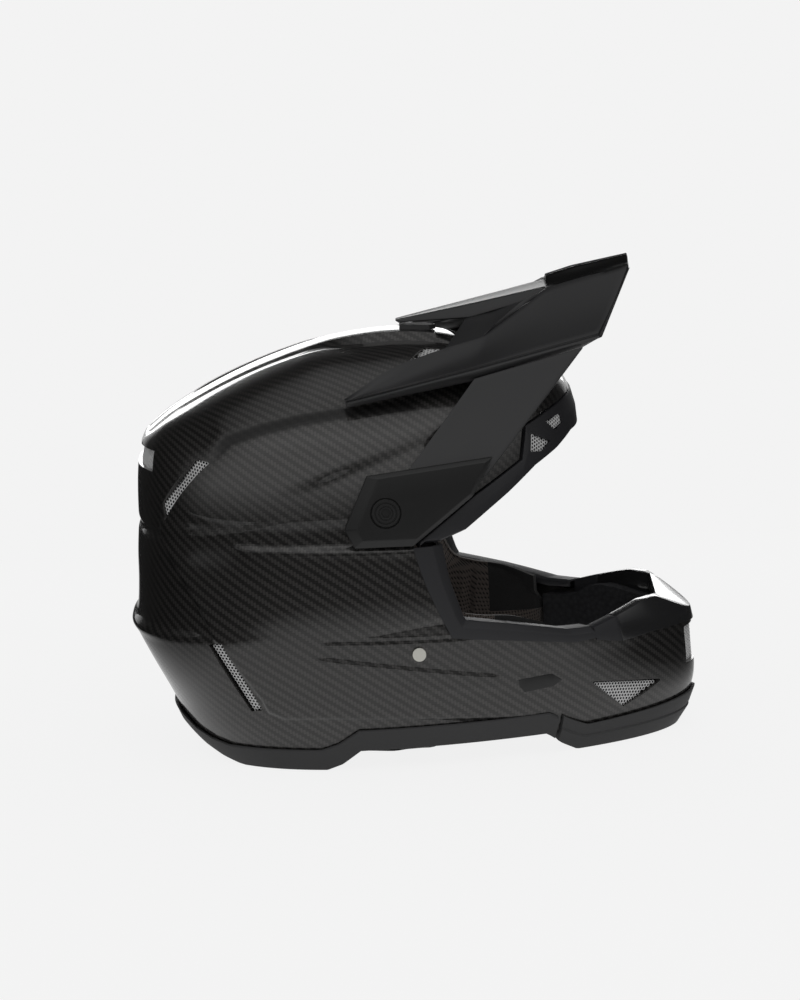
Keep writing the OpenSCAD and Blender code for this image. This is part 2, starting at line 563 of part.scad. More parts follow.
// The pad's upper edge steps in past the eyeport trim
function tuck(u, v) = (trim_depth + trim_t + 3 + pad_g) * clamp((v - 0.6) / 0.2, 0, 1)
  * clamp((u - 0.3) / 0.12, 0, 1);
function pad_point(u, v, inner) =
  let(x = mix(-46, 92, u), z1 = look(pad_bottom, x), z2 = look(pad_top, x), z = mix(z1, z2, v),
    b = bulge(u, v), a = angle_at(x, z), thick = mix(4, pad_edge_t, pow(b, 0.6)) + pad_crown * b
      - channel(v) * b)
  surf(a, z, inner ? pad_g - max(thick, tuck(u, v) + 3) : pad_g - max(2 * (1 - pow(b, 0.5)), tuck(u, v)));
module cheek_pad() {
  loft([for (i = [0:pad_cols]) let(u = mix(0.004, 0.996, i / pad_cols))
    concat([for (j = [0:pad_rows]) pad_point(u, mix(0.004, 0.996, j / pad_rows), false)],
      [for (j = [pad_rows:-1:0]) pad_point(u, mix(0.004, 0.996, j / pad_rows), true)])]);
}
module cheek_pad_left() color(cloth_grey) cheek_pad();
module cheek_pad_right() color(cloth_grey) mirror([0, 1, 0]) cheek_pad();

// Places of the snaps, each with its clearance under the shell's facets
snap_points = [[-26, 52, 1.4], [-14, 112, 0.8], [52, 52, 1.6]];
snap_clear = 1;
module snap(p) {
  o = seen(p, pad_g + snap_clear);
  q = seen(p, -shell_t - p[2]);
  d = q - o;
  translate(o) rotate([0, acos(d.z / norm(d)), atan2(d.y, d.x)])
    cylinder(h = norm(d), r = snap_r, $fn = 32);
}
module cheek_pad_snaps() {
  color(matte_black) both() for (p = snap_points) snap(p);
}

roll_angles = [for (a = [116:5:244]) a];
module neck_roll() {
  color(cloth_grey) loft([for (a = roll_angles)
    let(t = (a - 116) / 128, b = pow(sin(180 * clamp(t, 0.01, 0.99)), 0.4), x = surf(a, 40, 0).x,
      z1 = line_at(base_line, x) + shell_base_lift + 9, z2 = foam_low_z - 0.4)
    concat([for (i = [0:4]) surf(a, mix(z1, z2, i / 4), foam_g - 3 - 2 * (1 - sin(180 * i / 4)))],
      [for (i = [4:-1:0]) surf(a, mix(z1, z2, i / 4), foam_g - 10 - 16 * b * sin(180 * i / 4))])]);
}

// Webbing: a flat strip along points chosen by hand, with the direction of its width
module webbing(path, across) {
  loft([for (i = [0:len(path) - 1])
    let(p = path[i], t = unit(path[min(i + 1, len(path) - 1)] - path[max(i - 1, 0)]),
      w = unit(across[i] - t * (across[i] * t)) * strap_w / 2, n = unit(cross(t, w)) * strap_t / 2)
    [p + w + n, p - w + n, p - w - n, p + w - n]]);
}
strap_g = -shell_t - trim_gap - trim_t - 0.8 - strap_t / 2;
function strap_hang(z) = surf(angle_at(1, z), z, strap_g);
strap_down = [for (z = [84, 68, 52, 36, 26]) strap_hang(z)];
// Bars of the two D-rings, side by side in the strap's sewn loop
ring_y = 60;
ring_z = 18.5;
ring_step = 2 * ring_wire_r + 0.6;
loop_r = ring_wire_r + 0.3 + strap_t / 2;
module strap_left() {
  in_y = ring_y - ring_step;
  loop = concat([[1, ring_y + 4, ring_z + loop_r]],
    [for (b = [90:30:270]) [1, in_y + loop_r * cos(b), ring_z + loop_r * sin(b)]],
    [[1, ring_y + 3, ring_z - loop_r], [1, ring_y + 8, ring_z - 0.6], [1, ring_y + 15, ring_z + 0.6]]);
  path = concat(strap_down, [[1, 91, 22.2], [1, 80, ring_z + loop_r + 0.6]], loop);
  color(cloth_grey) webbing(path, [for (p = path) [1, 0, 0]]);
}
module strap_right() {
  path = concat(strap_down, [[1, 88, 19], [1, 76, 13], [0, 64, 6], [-4, 54, 2.6], [-14, 46, 1.4],
    [-34, 41, 1.4], [-62, 40, 1.4]]);
  across = [for (i = [0:len(path) - 1]) i < len(path) - 3 ? [1, 0, 0] : [0.5, -1, 0]];
  color(cloth_grey) mirror([0, 1, 0]) webbing(path, across);
}
module d_ring(y, z) {
  r = ring_inner / 2 + ring_wire_r;
  color("silver") translate([1, y, z]) {
    rotate([0, 90, 0]) cylinder(h = 2 * r, r = ring_wire_r, center = true, $fn = 24);
    rotate([-90, 0, 0]) rotate_extrude(angle = 180, $fn = 48) translate([r, 0]) circle(ring_wire_r, $fn = 24);
    for (x = [-r, r]) translate([x, 0, 0]) sphere(ring_wire_r, $fn = 24);
  }
}
module d_ring_outer() d_ring(ring_y, ring_z);
module d_ring_inner() d_ring(ring_y - ring_step, ring_z);

rivet_head_t = 1.6;
rivet_tail_t = 0.8;
// Stand-off of the rivet's head over the curved shell, and of its tail under the strap
rivet_off = side_rise + 0.7;
rivet_tail = strap_g - strap_t / 2 - rivet_off - 0.25;
module strap_rivets() {
  color("silver") both() translate([rivet_at.x, rivet_at.y + rivet_off, rivet_at.z]) rotate([-90, 0, 0]) {
    cylinder(h = rivet_head_t, r = rivet_head_r, $fn = 48);
    translate([0, 0, rivet_tail - 0.1]) cylinder(h = 0.2 - rivet_tail, r = rivet_shaft_r, $fn = 32);
    translate([0, 0, rivet_tail - rivet_tail_t]) cylinder(h = rivet_tail_t, r = rivet_head_r, $fn = 32);
  }
}

insert_r = 4;
insert_flange_r = 8;
insert_flange_t = 1.5;
thread_clear = 0.05;
inner_seat_y = seat_y - shell_t - 1.6;
plate_y = half_w + plate_gap;
washer_t = plate_y - seat_y - 0.2;
screw_recess = 2;
module visor_inserts() {
  color("silver") both() at_pivot(0) difference() {
    union() {
      translate([0, 0, inner_seat_y - insert_flange_t]) cylinder(h = insert_flange_t, r = insert_flange_r, $fn = 48);
      translate([0, 0, inner_seat_y - 0.01]) cylinder(h = seat_y - inner_seat_y, r = insert_r, $fn = 48);
    }
    translate([0, 0, inner_seat_y - 10]) cylinder(h = 30, r = thread_r + thread_clear, $fn = 48);
  }
}
module visor_washers() {
  color(matte_black) both() at_pivot(seat_y + 0.1) difference() {
    cylinder(h = washer_t, r = screw_head_r, $fn = 48);
    translate([0, 0, -1]) cylinder(h = washer_t + 2, r = shoulder_r + 0.3, $fn = 48);
  }
}
module visor_screw() {
  at_pivot(0) {
    translate([0, 0, inner_seat_y]) cylinder(h = seat_y + 0.2 - inner_seat_y + 0.01, r = thread_r, $fn = 48);
    translate([0, 0, seat_y + 0.2]) cylinder(h = plate_y + plate_t - screw_recess + 0.1 - seat_y - 0.2 + 0.01,
      r = shoulder_r, $fn = 48);
    difference() {
      translate([0, 0, plate_y + plate_t - screw_recess + 0.1]) cylinder(h = 2.2, r = screw_head_r - 0.6, $fn = 64);
      translate([0, 0, plate_y + plate_t]) difference() {
        cylinder(h = 2, r = 6.4, $fn = 48);
        translate([0, 0, -1]) cylinder(h = 4, r = 5, $fn = 48);
      }
    }
  }
}
module visor_screw_left() color(matte_black) visor_screw();
module visor_screw_right() color(matte_black) mirror([0, 1, 0]) visor_screw();

// Side plate outline around the pivot, as x and z distances from it
plate_outline = [[-11, 23], [67, 32], [54, 8], [16, -22], [-20, -22], [-26, -10]];
chamfer_slope = 30;
module side_plate() {
  translate([pivot.x, plate_y + plate_t, pivot.z]) rotate([90, 0, 0]) difference() {
    linear_extrude(height = plate_t) polygon(plate_outline);
    for (i = [0:len(plate_outline) - 1]) {
      a = plate_outline[i];
      b = plate_outline[(i + 1) % len(plate_outline)];
      t = unit(b - a);
      translate([a.x, a.y, 0]) rotate([0, 0, atan2(t.y, t.x)]) rotate([-chamfer_slope, 0, 0])
        translate([-50, -1, -20]) cube([200, 50, 20]);
    }
    translate([0, 0, -1]) cylinder(h = 20, r = shoulder_r + pivot_clear, $fn = 64);
    translate([0, 0, -1]) cylinder(h = screw_recess + 1, r = screw_head_r, $fn = 64);
  }
}
module visor_side_plate_left() color(matte_black) side_plate();
module visor_side_plate_right() color(matte_black) mirror([0, 1, 0]) side_plate();

// Corner points of the visor's panels on its left side, drawn for one helmet. They keep their
// share of the visor's length, of the shell's width and of the rise from the pivot to the ridge.
design_pivot = [-16, 168];
design_len = 159;
design_half_w = 117.5;
design_rise = 95;
function visor_x(x) = let(d = x - design_pivot[0]) pivot.x + d * (d > 0 ? visor_len / design_len : 1);
function visor_z(z) = pivot.z + (z - design_pivot[1]) * (ridge_top - pivot.z) / design_rise;
function vp(x, y, z) = [visor_x(x), y * half_w / design_half_w, visor_z(z)];
tail_top = vp(-4, 8, 269.5);
spine_top = vp(91, 14, 291);
hood_side = vp(89, 45, 287);
hood_front = vp(142, 42, 298);
hood_tip = vp(143, 12, 303.5);
hood_step = vp(93, 30, 291);
wing_rear = vp(-38, 95, 231);
wing_mid = vp(-14, 84, 247);
wing_top = vp(24, 64, 257);
slit_low = vp(50, 54, 262);
slit_high = vp(80, 46, 281);
wing_front = vp(120, 84, 266);
wing_edge = vp(42, 90, 248.7);
web_top = vp(42, 17, 269);
web_front = vp(76, 18, 277);
web_low = vp(48, 50, 262);
module panel(pts) {
  hull() for (p = pts) translate(p) sphere(panel_t / 2, $fn = 6);
}
module visor_half() {
  panel([wing_rear, wing_mid, wing_edge]);
  panel([wing_mid, wing_top, wing_edge]);
  panel([wing_top, slit_low, wing_edge]);
  panel([slit_low, slit_high, wing_edge]);
  panel([slit_high, hood_side, wing_edge, wing_front]);
  panel([hood_side, hood_front, wing_front]);
  panel([hood_side, hood_step, hood_tip, hood_front]);
  panel([spine_top, hood_step, hood_tip]);
  panel([web_top, web_front, slit_high]);
  panel([web_top, slit_high, wing_top]);
}
module visor() {
  color(matte_black) {
    both() visor_half();
    panel([tail_top, [tail_top.x, -tail_top.y, tail_top.z], spine_top,
      [spine_top.x, -spine_top.y, spine_top.z]]);
    panel([spine_top, [spine_top.x, -spine_top.y, spine_top.z], hood_tip,
      [hood_tip.x, -hood_tip.y, hood_tip.z]]);
    both() panel([tail_top, spine_top, vp(-2, 9, 266), vp(82, 16, 278)]);
    both() panel([wing_edge, wing_front, wing_front + [-2, -5, -4], wing_edge + [0, -5, -5]]);
    both() panel([wing_rear, wing_edge, wing_edge + [0, -5, -5]]);
    both() visor_arm();
  }
}
arm_y = plate_y - 0.25 - panel_t / 2;
arm_low_z = pivot.z + 18;
arm_points = [[visor_x(-6), arm_y, arm_low_z], vp(42, 88, 241), vp(108, 82, 259), vp(91, 85, 238),
  vp(69, 94, 215), [visor_x(48), arm_y - 4, visor_z(198)], [visor_x(44), arm_y, arm_low_z]];
module visor_arm() {
  panel([arm_points[0], arm_points[1], arm_points[4]]);
  panel([arm_points[1], arm_points[2], arm_points[3]]);
  panel([arm_points[1], arm_points[3], arm_points[4]]);
  panel([arm_points[0], arm_points[4], arm_points[5]]);
  panel([arm_points[0], arm_points[5], arm_points[6]]);
}

module crown_rest_pad() {
  x = 6;
  color(matte_black) translate([x, 0, ridge_at(x) + 0.3]) rotate([0, 3, 0])
    linear_extrude(height = 3) polygon([[-9, -5], [-9, 5], [10, 6], [14, 0], [10, -6]]);
}

outer_shell();
eyeport_trim();
brow_frame();
chin_lip();
base_trim();
chin_base_guard();
rear_upper_screen_left();
rear_upper_screen_right();
rear_lower_screen_left();
rear_lower_screen_right();
crown_screen_left();
crown_screen_right();
chin_side_screen_left();
chin_side_screen_right();
brow_screens();
chin_front_screen();
rear_exhaust_screen();
cranial_foam();
chin_foam();
crown_comfort_liner();
cheek_pad_left();
cheek_pad_right();
cheek_pad_snaps();
neck_roll();
strap_left();
strap_right();
d_ring_outer();
d_ring_inner();
strap_rivets();
visor();
visor_side_plate_left();
visor_side_plate_right();
visor_screw_left();
visor_screw_right();
visor_washers();
visor_inserts();
crown_rest_pad();
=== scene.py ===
"""A full face mountain bike helmet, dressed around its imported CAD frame.

Lengths in this script are in millimetres until a mesh is made, and plan angles are in degrees:
0 points forward along +X, 90 to the wearer's left along +Y. The near side of the picture is -Y.
"""
import math

import bmesh
import bpy
import numpy as np
from mathutils import Matrix, Vector

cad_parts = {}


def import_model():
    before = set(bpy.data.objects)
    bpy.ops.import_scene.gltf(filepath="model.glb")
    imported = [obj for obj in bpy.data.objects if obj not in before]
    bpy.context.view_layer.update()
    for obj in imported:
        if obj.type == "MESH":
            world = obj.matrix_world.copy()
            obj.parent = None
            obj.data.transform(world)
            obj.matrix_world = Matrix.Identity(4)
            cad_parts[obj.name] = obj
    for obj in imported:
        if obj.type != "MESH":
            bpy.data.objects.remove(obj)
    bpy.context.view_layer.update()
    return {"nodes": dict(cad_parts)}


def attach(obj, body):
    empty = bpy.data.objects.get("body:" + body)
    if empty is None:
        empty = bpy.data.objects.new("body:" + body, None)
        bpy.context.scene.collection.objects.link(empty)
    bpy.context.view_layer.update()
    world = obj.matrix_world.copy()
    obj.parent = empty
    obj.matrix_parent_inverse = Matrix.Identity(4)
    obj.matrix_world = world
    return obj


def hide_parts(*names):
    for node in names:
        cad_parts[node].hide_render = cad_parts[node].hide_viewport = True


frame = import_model()
bpy.context.scene.view_settings.view_transform = "Standard"

MM = 0.001

# Camera
PHOTO_TARGET = (-7.0, 0.0, 152.0)
PHOTO_ELEVATION = 11.0
PHOTO_ROLL = 2.4
PHOTO_DISTANCE = 3000.0
MM_PER_PIXEL = 0.64
PHOTO_HEIGHT_PX = 1000


def placed(name, data):
    """A new object in the scene."""
    obj = bpy.data.objects.new(name, data)
    bpy.context.scene.collection.objects.link(obj)
    return obj


def make_camera():
    """The photograph's view: from the wearer's right, a little above, rolled nose up."""
    data = bpy.data.cameras.new("photo_camera")
    camera = placed("photo_camera", data)
    e, r = math.radians(PHOTO_ELEVATION), math.radians(PHOTO_ROLL)
    back = Vector((0, -math.cos(e), math.sin(e)))
    right = Vector((1, 0, 0)) * math.cos(r) - Vector((0, math.sin(e), math.cos(e))) * math.sin(r)
    turn = Matrix((right, back.cross(right), back)).transposed().to_4x4()
    place = (Vector(PHOTO_TARGET) + back * PHOTO_DISTANCE) * MM
    camera.matrix_world = Matrix.Translation(place) @ turn
    data.sensor_fit = "VERTICAL"
    data.sensor_height = 24
    data.lens = data.sensor_height * PHOTO_DISTANCE / (PHOTO_HEIGHT_PX * MM_PER_PIXEL)
    data.clip_start = 0.05
    data.clip_end = 50
    bpy.context.scene.camera = camera


make_camera()

# The helmet's surface
HALF_W = 117.5
WIDE_Z = 150.0
WIDE_X = -33.0
REAR_X = -176.0
CHIN_REACH = 178.0
BROW_REACH = 108.0
RIDGE_TOP = 263.0
RIDGE_HALF = 12.0
RIDGE_RISE = 5.0
RIDGE_FRONT = 82.0
RIDGE_REAR = -150.0
RIDGE_SHRINK = 0.8
SHELL_T = 3.0

REAR_PROFILE = [(-14, -48), (0, -38), (20, -26), (39, -18), (62, -6.5), (80, 2), (86, 4), (93, 1.5),
                (110, 0), (130, -0.5), (150, -2)]
FRONT_PROFILE = [(z, CHIN_REACH + d) for z, d in [(-14, -28), (0, -15), (10, -8), (29, -1), (45, 0),
                 (63, -1), (75, -2), (90, -10), (105, -28)]] + \
                [(z, BROW_REACH + d) for z, d in [(122, 20), (136, 6), (150, 0)]]
SIDE_PROFILE = [(-14, -31), (0, -24), (15, -18), (35, -11), (60, -6), (90, -2), (120, -0.3), (150, 0)]
FRONT_SQUARENESS = [(0, 1.75), (80, 1.8), (110, 1.95), (150, 2.2)]
REAR_SQUARENESS = [(0, 2.3), (80, 2.6), (150, 2.4)]
RIDGE_LINE = [(-150, -43), (-123, -27), (-97, -15), (-71, -7), (-44, -2), (-7, 0), (25, -3), (55, -12),
              (82, -25)]
# On the outer face the picture shows the ridge a little lower and flatter behind, up to a corner
SEEN_REAR = -165.0
SEEN_RIDGE = [(-165, -57.4), (-150, -46), (-123, -31.2), (-97, -19.6), (-71, -10.5),
              (-44, -3.5)] + RIDGE_LINE[5:]
SEEN_RISE = 1.2
GROWS_FROM = -66.0  # where the ridge starts to grow from that rise to its full one
GROWS_OVER = 46.0
FOOT_STEEPNESS = (3, 9)  # how soon the ridge's foot is at its full width, inside and outside
DOME_SQUARENESS = (2.15, 1.85, 0.3)  # at the side, and what is added in front and behind
INNER_G = -3.5

# Outlines in the side view, as x and z
PILLAR_OUTER = [(0, 146), (6, 123), (15, 100), (22, 85)]
LOWER_OUTER = [(22, 85), (70, 78), (99, 73), (117, 74), (128, 81), (141, 83), (162, 80), (190, 78)]
LIP_EDGE = [(128, 76), (141, 77), (155, 76), (170, 72), (180, 69.5), (190, 69)]
BROW_OUTER = [(0, 146), (37, 173), (68, 191), (71, 211), (86, 217), (100, 222), (190, 222)]
BROW_INNER = [(16, 147), (34, 153), (48, 163), (61, 172), (78, 185), (92, 192), (102, 199), (190, 203)]
BASE_LINE = [(-190, 34), (-150, 20), (-138, 10), (-127, 4), (-115, 0), (-60, 0), (-50, 4), (-38, 13),
             (80, 14), (90, 6), (100, 0), (190, 0)]
SHELL_VENTS = {
    "rear_upper": [(-125.5, 196), (-133.5, 196.5), (-155, 169), (-154, 160)],
    "rear_lower": [(-129, 84), (-121, 85), (-99, 42), (-105, 41)],
    "crown": [(-3, 246), (13, 256), (24, 254.5), (18, 248.5)],
    "chin_side": [(110, 44), (129, 25), (153, 37)],
}
BROW_VENTS = {
    "brow_low": [(76, 205), (87, 198), (82.5, 193.5), (75, 194.5)],
    "brow_high": [(86, 210), (95, 212), (96, 207), (91, 203.5)],
}
FRONT_VENT_ANGLE = 13.0
FRONT_VENT_Z = (42.0, 66.0)
EXHAUST_ANGLE = 25.0
EXHAUST_Z = (187.0, 199.0)

TRIM_T = 2.0
TRIM_GAP = 0.55
EDGE_GAP = TRIM_GAP + 0.6
BASE_LIFT = TRIM_T + EDGE_GAP
TRIM_DEPTH = 14.0
PIVOT = np.array([WIDE_X + 17, 0, WIDE_Z + 18])
PLATE_Y = HALF_W + 0.9
PLATE_T = 5.0
RIVET_AT = (1, 76)


def smooth_at(pairs, v):
    """The smooth curve through a list of pairs, at v."""
    x, y = np.array(pairs, float).T
    k = np.arange(len(x))
    lo, hi = np.maximum(k - 1, 0), np.minimum(k + 1, len(x) - 1)
    m = (y[hi] - y[lo]) / (x[hi] - x[lo])
    v = np.clip(np.asarray(v, float), x[0], x[-1])
    i = np.clip(np.searchsorted(x, v, side="right") - 1, 0, len(x) - 2)
    h = x[i + 1] - x[i]
    t = (v - x[i]) / h
    return ((2 * t**3 - 3 * t**2 + 1) * y[i] + (t**3 - 2 * t**2 + t) * h * m[i]
            + (3 * t**2 - 2 * t**3) * y[i + 1] + (t**3 - t**2) * h * m[i + 1])


def places(*points):
    return np.array(points, float)


def line_at(pairs, v):
    x, y = np.array(pairs, float).T
    return np.interp(v, x, y)


def mix(a, b, t):
    return a + (b - a) * t


def smoothstep(t):
    t = np.clip(t, 0, 1)
    return t * t * (3 - 2 * t)


def signed_power(v, p):
    return np.sign(v) * np.abs(v) ** p


def ridge_rise(x):
    """Height of the ridge's outer face above its foot."""
    return mix(SEEN_RISE, RIDGE_RISE, smoothstep((x - GROWS_FROM) / GROWS_OVER))


def reach_at(z, a, g):
    front = np.cos(np.radians(a)) > 0
    return np.where(front, smooth_at(FRONT_PROFILE, z) + g - WIDE_X,
                    WIDE_X - REAR_X + smooth_at(REAR_PROFILE, z) + g)


def ring(z, a, g):
    """The level section at height z and plan angle a, grown outwards by g."""
    z, a, g = np.broadcast_arrays(*[np.asarray(v, float) for v in (z, a, g)])
    c, s = np.cos(np.radians(a)), np.sin(np.radians(a))
    n = np.where(c > 0, smooth_at(FRONT_SQUARENESS, z), smooth_at(REAR_SQUARENESS, z))
    half = HALF_W + smooth_at(SIDE_PROFILE, z) + g
    return np.stack([WIDE_X + reach_at(z, a, g) * signed_power(c, 2 / n),
                     half * signed_power(s, 2 / n), z], -1)


def foot(a, g):
    """The foot of the top ridge at plan angle a."""
    e = ring(WIDE_Z, a, g)
    outer = np.clip(1 - g / INNER_G, 0, 1)
    xi = (e[..., 0] - WIDE_X) / reach_at(WIDE_Z, a, g)
    rear = mix(RIDGE_REAR, SEEN_REAR, outer)
    span = np.where(xi > 0, RIDGE_FRONT - WIDE_X, WIDE_X - rear) + RIDGE_SHRINK * g
    x = WIDE_X + xi * span
    y = (RIDGE_HALF + RIDGE_RISE) * np.clip(np.sin(np.radians(a)) * mix(*FOOT_STEEPNESS, outer), -1, 1)
    drop = mix(smooth_at(RIDGE_LINE, x) - RIDGE_RISE, smooth_at(SEEN_RIDGE, x) - ridge_rise(x), outer)
    return np.stack([x, y, RIDGE_TOP + drop + g], -1)


def dome_squareness(a):
    c = np.cos(np.radians(a))
    return DOME_SQUARENESS[0] + np.where(c > 0, *DOME_SQUARENESS[1:]) * np.abs(c) ** 3


def dome(a, q, g):
    """The surface at fraction q of the way from the widest level up to the ridge's foot."""
    e, f, m = ring(WIDE_Z, a, g), foot(a, g), dome_squareness(a)
    h = (1 - np.clip(q, 0, 1) ** m) ** (1 / m)
    return np.stack([mix(f[..., 0], e[..., 0], h), mix(f[..., 1], e[..., 1], h),
                     mix(WIDE_Z, f[..., 2], q)], -1)


def share_up(a, z, g):
    """How far up z lies, from 0 at the widest level to 1 at the ridge's foot."""
    return (z - WIDE_Z) / (foot(a, g)[..., 2] - WIDE_Z)


def wall_or_dome(a, z, q, g):
    return np.where((z <= WIDE_Z)[..., None], ring(np.minimum(z, WIDE_Z), a, g), dome(a, q, g))


def surf(a, z, g):
    """The whole surface at plan angle a and height z, grown outwards by g."""
    a, z, g = np.broadcast_arrays(*[np.asarray(v, float) for v in (a, z, g)])
    return wall_or_dome(a, z, np.clip(share_up(a, z, g), 0, 1), g)


def angle_at(x, z):
    """The plan angle at which the surface passes through x at height z, on the left side."""
    x, z = np.broadcast_arrays(np.asarray(x, float), np.asarray(z, float))
    lo, hi = np.zeros(x.shape), np.full(x.shape, 180.0)
    for _ in range(24):
        mid = (lo + hi) / 2
        ahead = surf(mid, z, 0)[..., 0] > x
        lo, hi = np.where(ahead, mid, lo), np.where(ahead, hi, mid)
    return (lo + hi) / 2


def seen(points, g):
    """Points of the left side's surface that show at x and z from the side, grown by g."""
    x, z = np.array(points, float).T
    a = angle_at(x, z)
    return wall_or_dome(a, z, share_up(a, z, 0), g)


# Mesh helpers
def unit(v):
    return v / np.linalg.norm(v, axis=-1, keepdims=True)


def lengths(points, axis):
    """How far along a line, or along each line of a grid, every point lies."""
    step = np.linalg.norm(np.diff(points, axis=axis), axis=-1)
    return np.concatenate([np.zeros_like(np.take(step, [0], axis)), np.cumsum(step, axis)], axis)


def mesh_object(name, points, faces):
    """A new object from points in millimetres."""
    mesh = bpy.data.meshes.new(name)
    mesh.from_pydata((np.asarray(points, float).reshape(-1, 3) * MM).tolist(), [], faces)
    mesh.validate()
    mesh.update()
    return placed(name, mesh)


def grid_faces(rows, cols, wrap=False, start=0):
    """Quads of a grid of rows by cols points, its columns closed into rings with wrap."""
    i, j = np.meshgrid(np.arange(rows - 1), np.arange(cols if wrap else cols - 1), indexing="ij")
    a = i * cols + j
    b = i * cols + (j + 1) % cols
    return (np.stack([a, b, b + cols, a + cols], -1).reshape(-1, 4) + start).tolist()


def cross_strip(k):
    """Quads across a ring of k points, from one half to the other."""
    half = np.arange(k // 2 - 1)
    return np.stack([half, half + 1, k - 2 - half, k - 1 - half], -1)


def outward(obj, weld=0.0):
    """Joins points that lie closer than weld, and turns every face outwards."""
    bm = bmesh.new()
    bm.from_mesh(obj.data)
    if weld:
        bmesh.ops.remove_doubles(bm, verts=bm.verts[:], dist=weld * MM)
    bmesh.ops.recalc_face_normals(bm, faces=bm.faces[:])
    bm.to_mesh(obj.data)
    bm.free()
    return obj


def loft(name, sections):
    """A closed solid through sections of equally many points."""
    n, k = np.shape(sections)[:2]
    strip = cross_strip(k)
    faces = grid_faces(n, k, wrap=True) + strip.tolist() + (strip[:, ::-1] + (n - 1) * k).tolist()
    return outward(mesh_object(name, sections, faces))


def lathe(name, profile, centre, sides=96):
    """A turned piece about a line along Y, from pairs of radius and y."""
    t = np.arange(sides) * 2 * math.pi / sides
    rings = [np.stack([centre[0] + r * np.cos(t), np.full(sides, y), centre[2] + r * np.sin(t)], -1)
             for r, y in profile]
    return loft(name, rings)


def rod(centre, r, y0, y1, sides=48):
    return lathe("rod", [(r, y0), (r, y1)], centre, sides)


def prism(outline, low=-160.0, high=160.0):
    """A side view outline cut right through the helmet, as a solid."""
    n = len(outline)
    faces = [list(range(n)), list(range(2 * n - 1, n - 1, -1))]
    faces += [[i, i + n, (i + 1) % n + n, (i + 1) % n] for i in range(n)]
    return outward(mesh_object("prism", [(x, y, z) for y in (low, high) for x, z in outline], faces))


def hull(points, name="hull"):
    """The convex solid around some points."""
    bm = bmesh.new()
    for p in np.asarray(points, float).reshape(-1, 3):
        bm.verts.new(Vector(p) * MM)
    made = bmesh.ops.convex_hull(bm, input=bm.verts[:])
    inside = set(made["geom_interior"] + made["geom_unused"])
    loose = [v for v in inside if isinstance(v, bmesh.types.BMVert)]
    bmesh.ops.delete(bm, geom=loose, context="VERTS")
    bmesh.ops.recalc_face_normals(bm, faces=bm.faces[:])
    mesh = bpy.data.meshes.new(name)
    bm.to_mesh(mesh)
    bm.free()
    return placed(name, mesh)


def apply_modifiers(obj):
    """Writes an object's modifiers into its mesh."""
    graph = bpy.context.evaluated_depsgraph_get()
    mesh = bpy.data.meshes.new_from_object(obj.evaluated_get(graph))
    obj.modifiers.clear()
    old, obj.data = obj.data, mesh
    bpy.data.meshes.remove(old)


def combine(obj, others, operation="DIFFERENCE"):
    """Cuts the other solids out of obj, or joins them to it, and removes them."""
    for other in others:
        cut = obj.modifiers.new("combine", "BOOLEAN")
        cut.operation, cut.solver, cut.object = operation, "MANIFOLD", other
    apply_modifiers(obj)
    for other in others:
        bpy.data.objects.remove(other)


def bevel(obj, width, segments=2, angle=35):
    cut = obj.modifiers.new("bevel", "BEVEL")
    cut.width, cut.segments, cut.limit_method = width * MM, segments, "ANGLE"
    cut.angle_limit = math.radians(angle)
    apply_modifiers(obj)
    return obj


def smooth(obj, angle=35):
    """Smooth shading, broken where faces meet at more than the angle."""
    obj.data.shade_smooth()
    obj.data.set_sharp_from_angle(angle=math.radians(angle))
    return obj


def coordinates(mesh):
    co = np.zeros(len(mesh.vertices) * 3)
    mesh.vertices.foreach_get("co", co)
    return co


def mirror_y(obj, name):
    """The other side's copy of a piece."""
    mesh = obj.data.copy()
    co = coordinates(mesh)
    co[1::3] *= -1
    mesh.vertices.foreach_set("co", co)
    mesh.flip_normals()
    return placed(name, mesh)


def store(obj, name, values, kind="FLOAT"):
    """Keeps a value or a vector at every point of a mesh, for its material."""
    layer = obj.data.attributes.new(name, kind, "POINT")
    layer.data.foreach_set("value" if kind == "FLOAT" else "vector", values.reshape(-1))


def dress(mesh, material):
    mesh.materials.clear()
    mesh.materials.append(material)


def piece(obj, body, slot, material, *nodes):
    """Gives a piece its body, its material and the CAD nodes that it stands for. Its slot is not used."""
    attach(obj, body)
    if nodes:
        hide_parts(*nodes)
    dress(obj.data, material)
    return obj


def pair(left, angle, body, slot, material, node):
    """Finishes a left side piece and its mirrored copy. The side's name goes in place of {}."""
    right = mirror_y(left, left.name.replace("left", "right"))
    return [piece(smooth(obj, angle), body.format(side), slot, material, node.format(side))
            for obj, side in ((left, "left"), (right, "right"))]


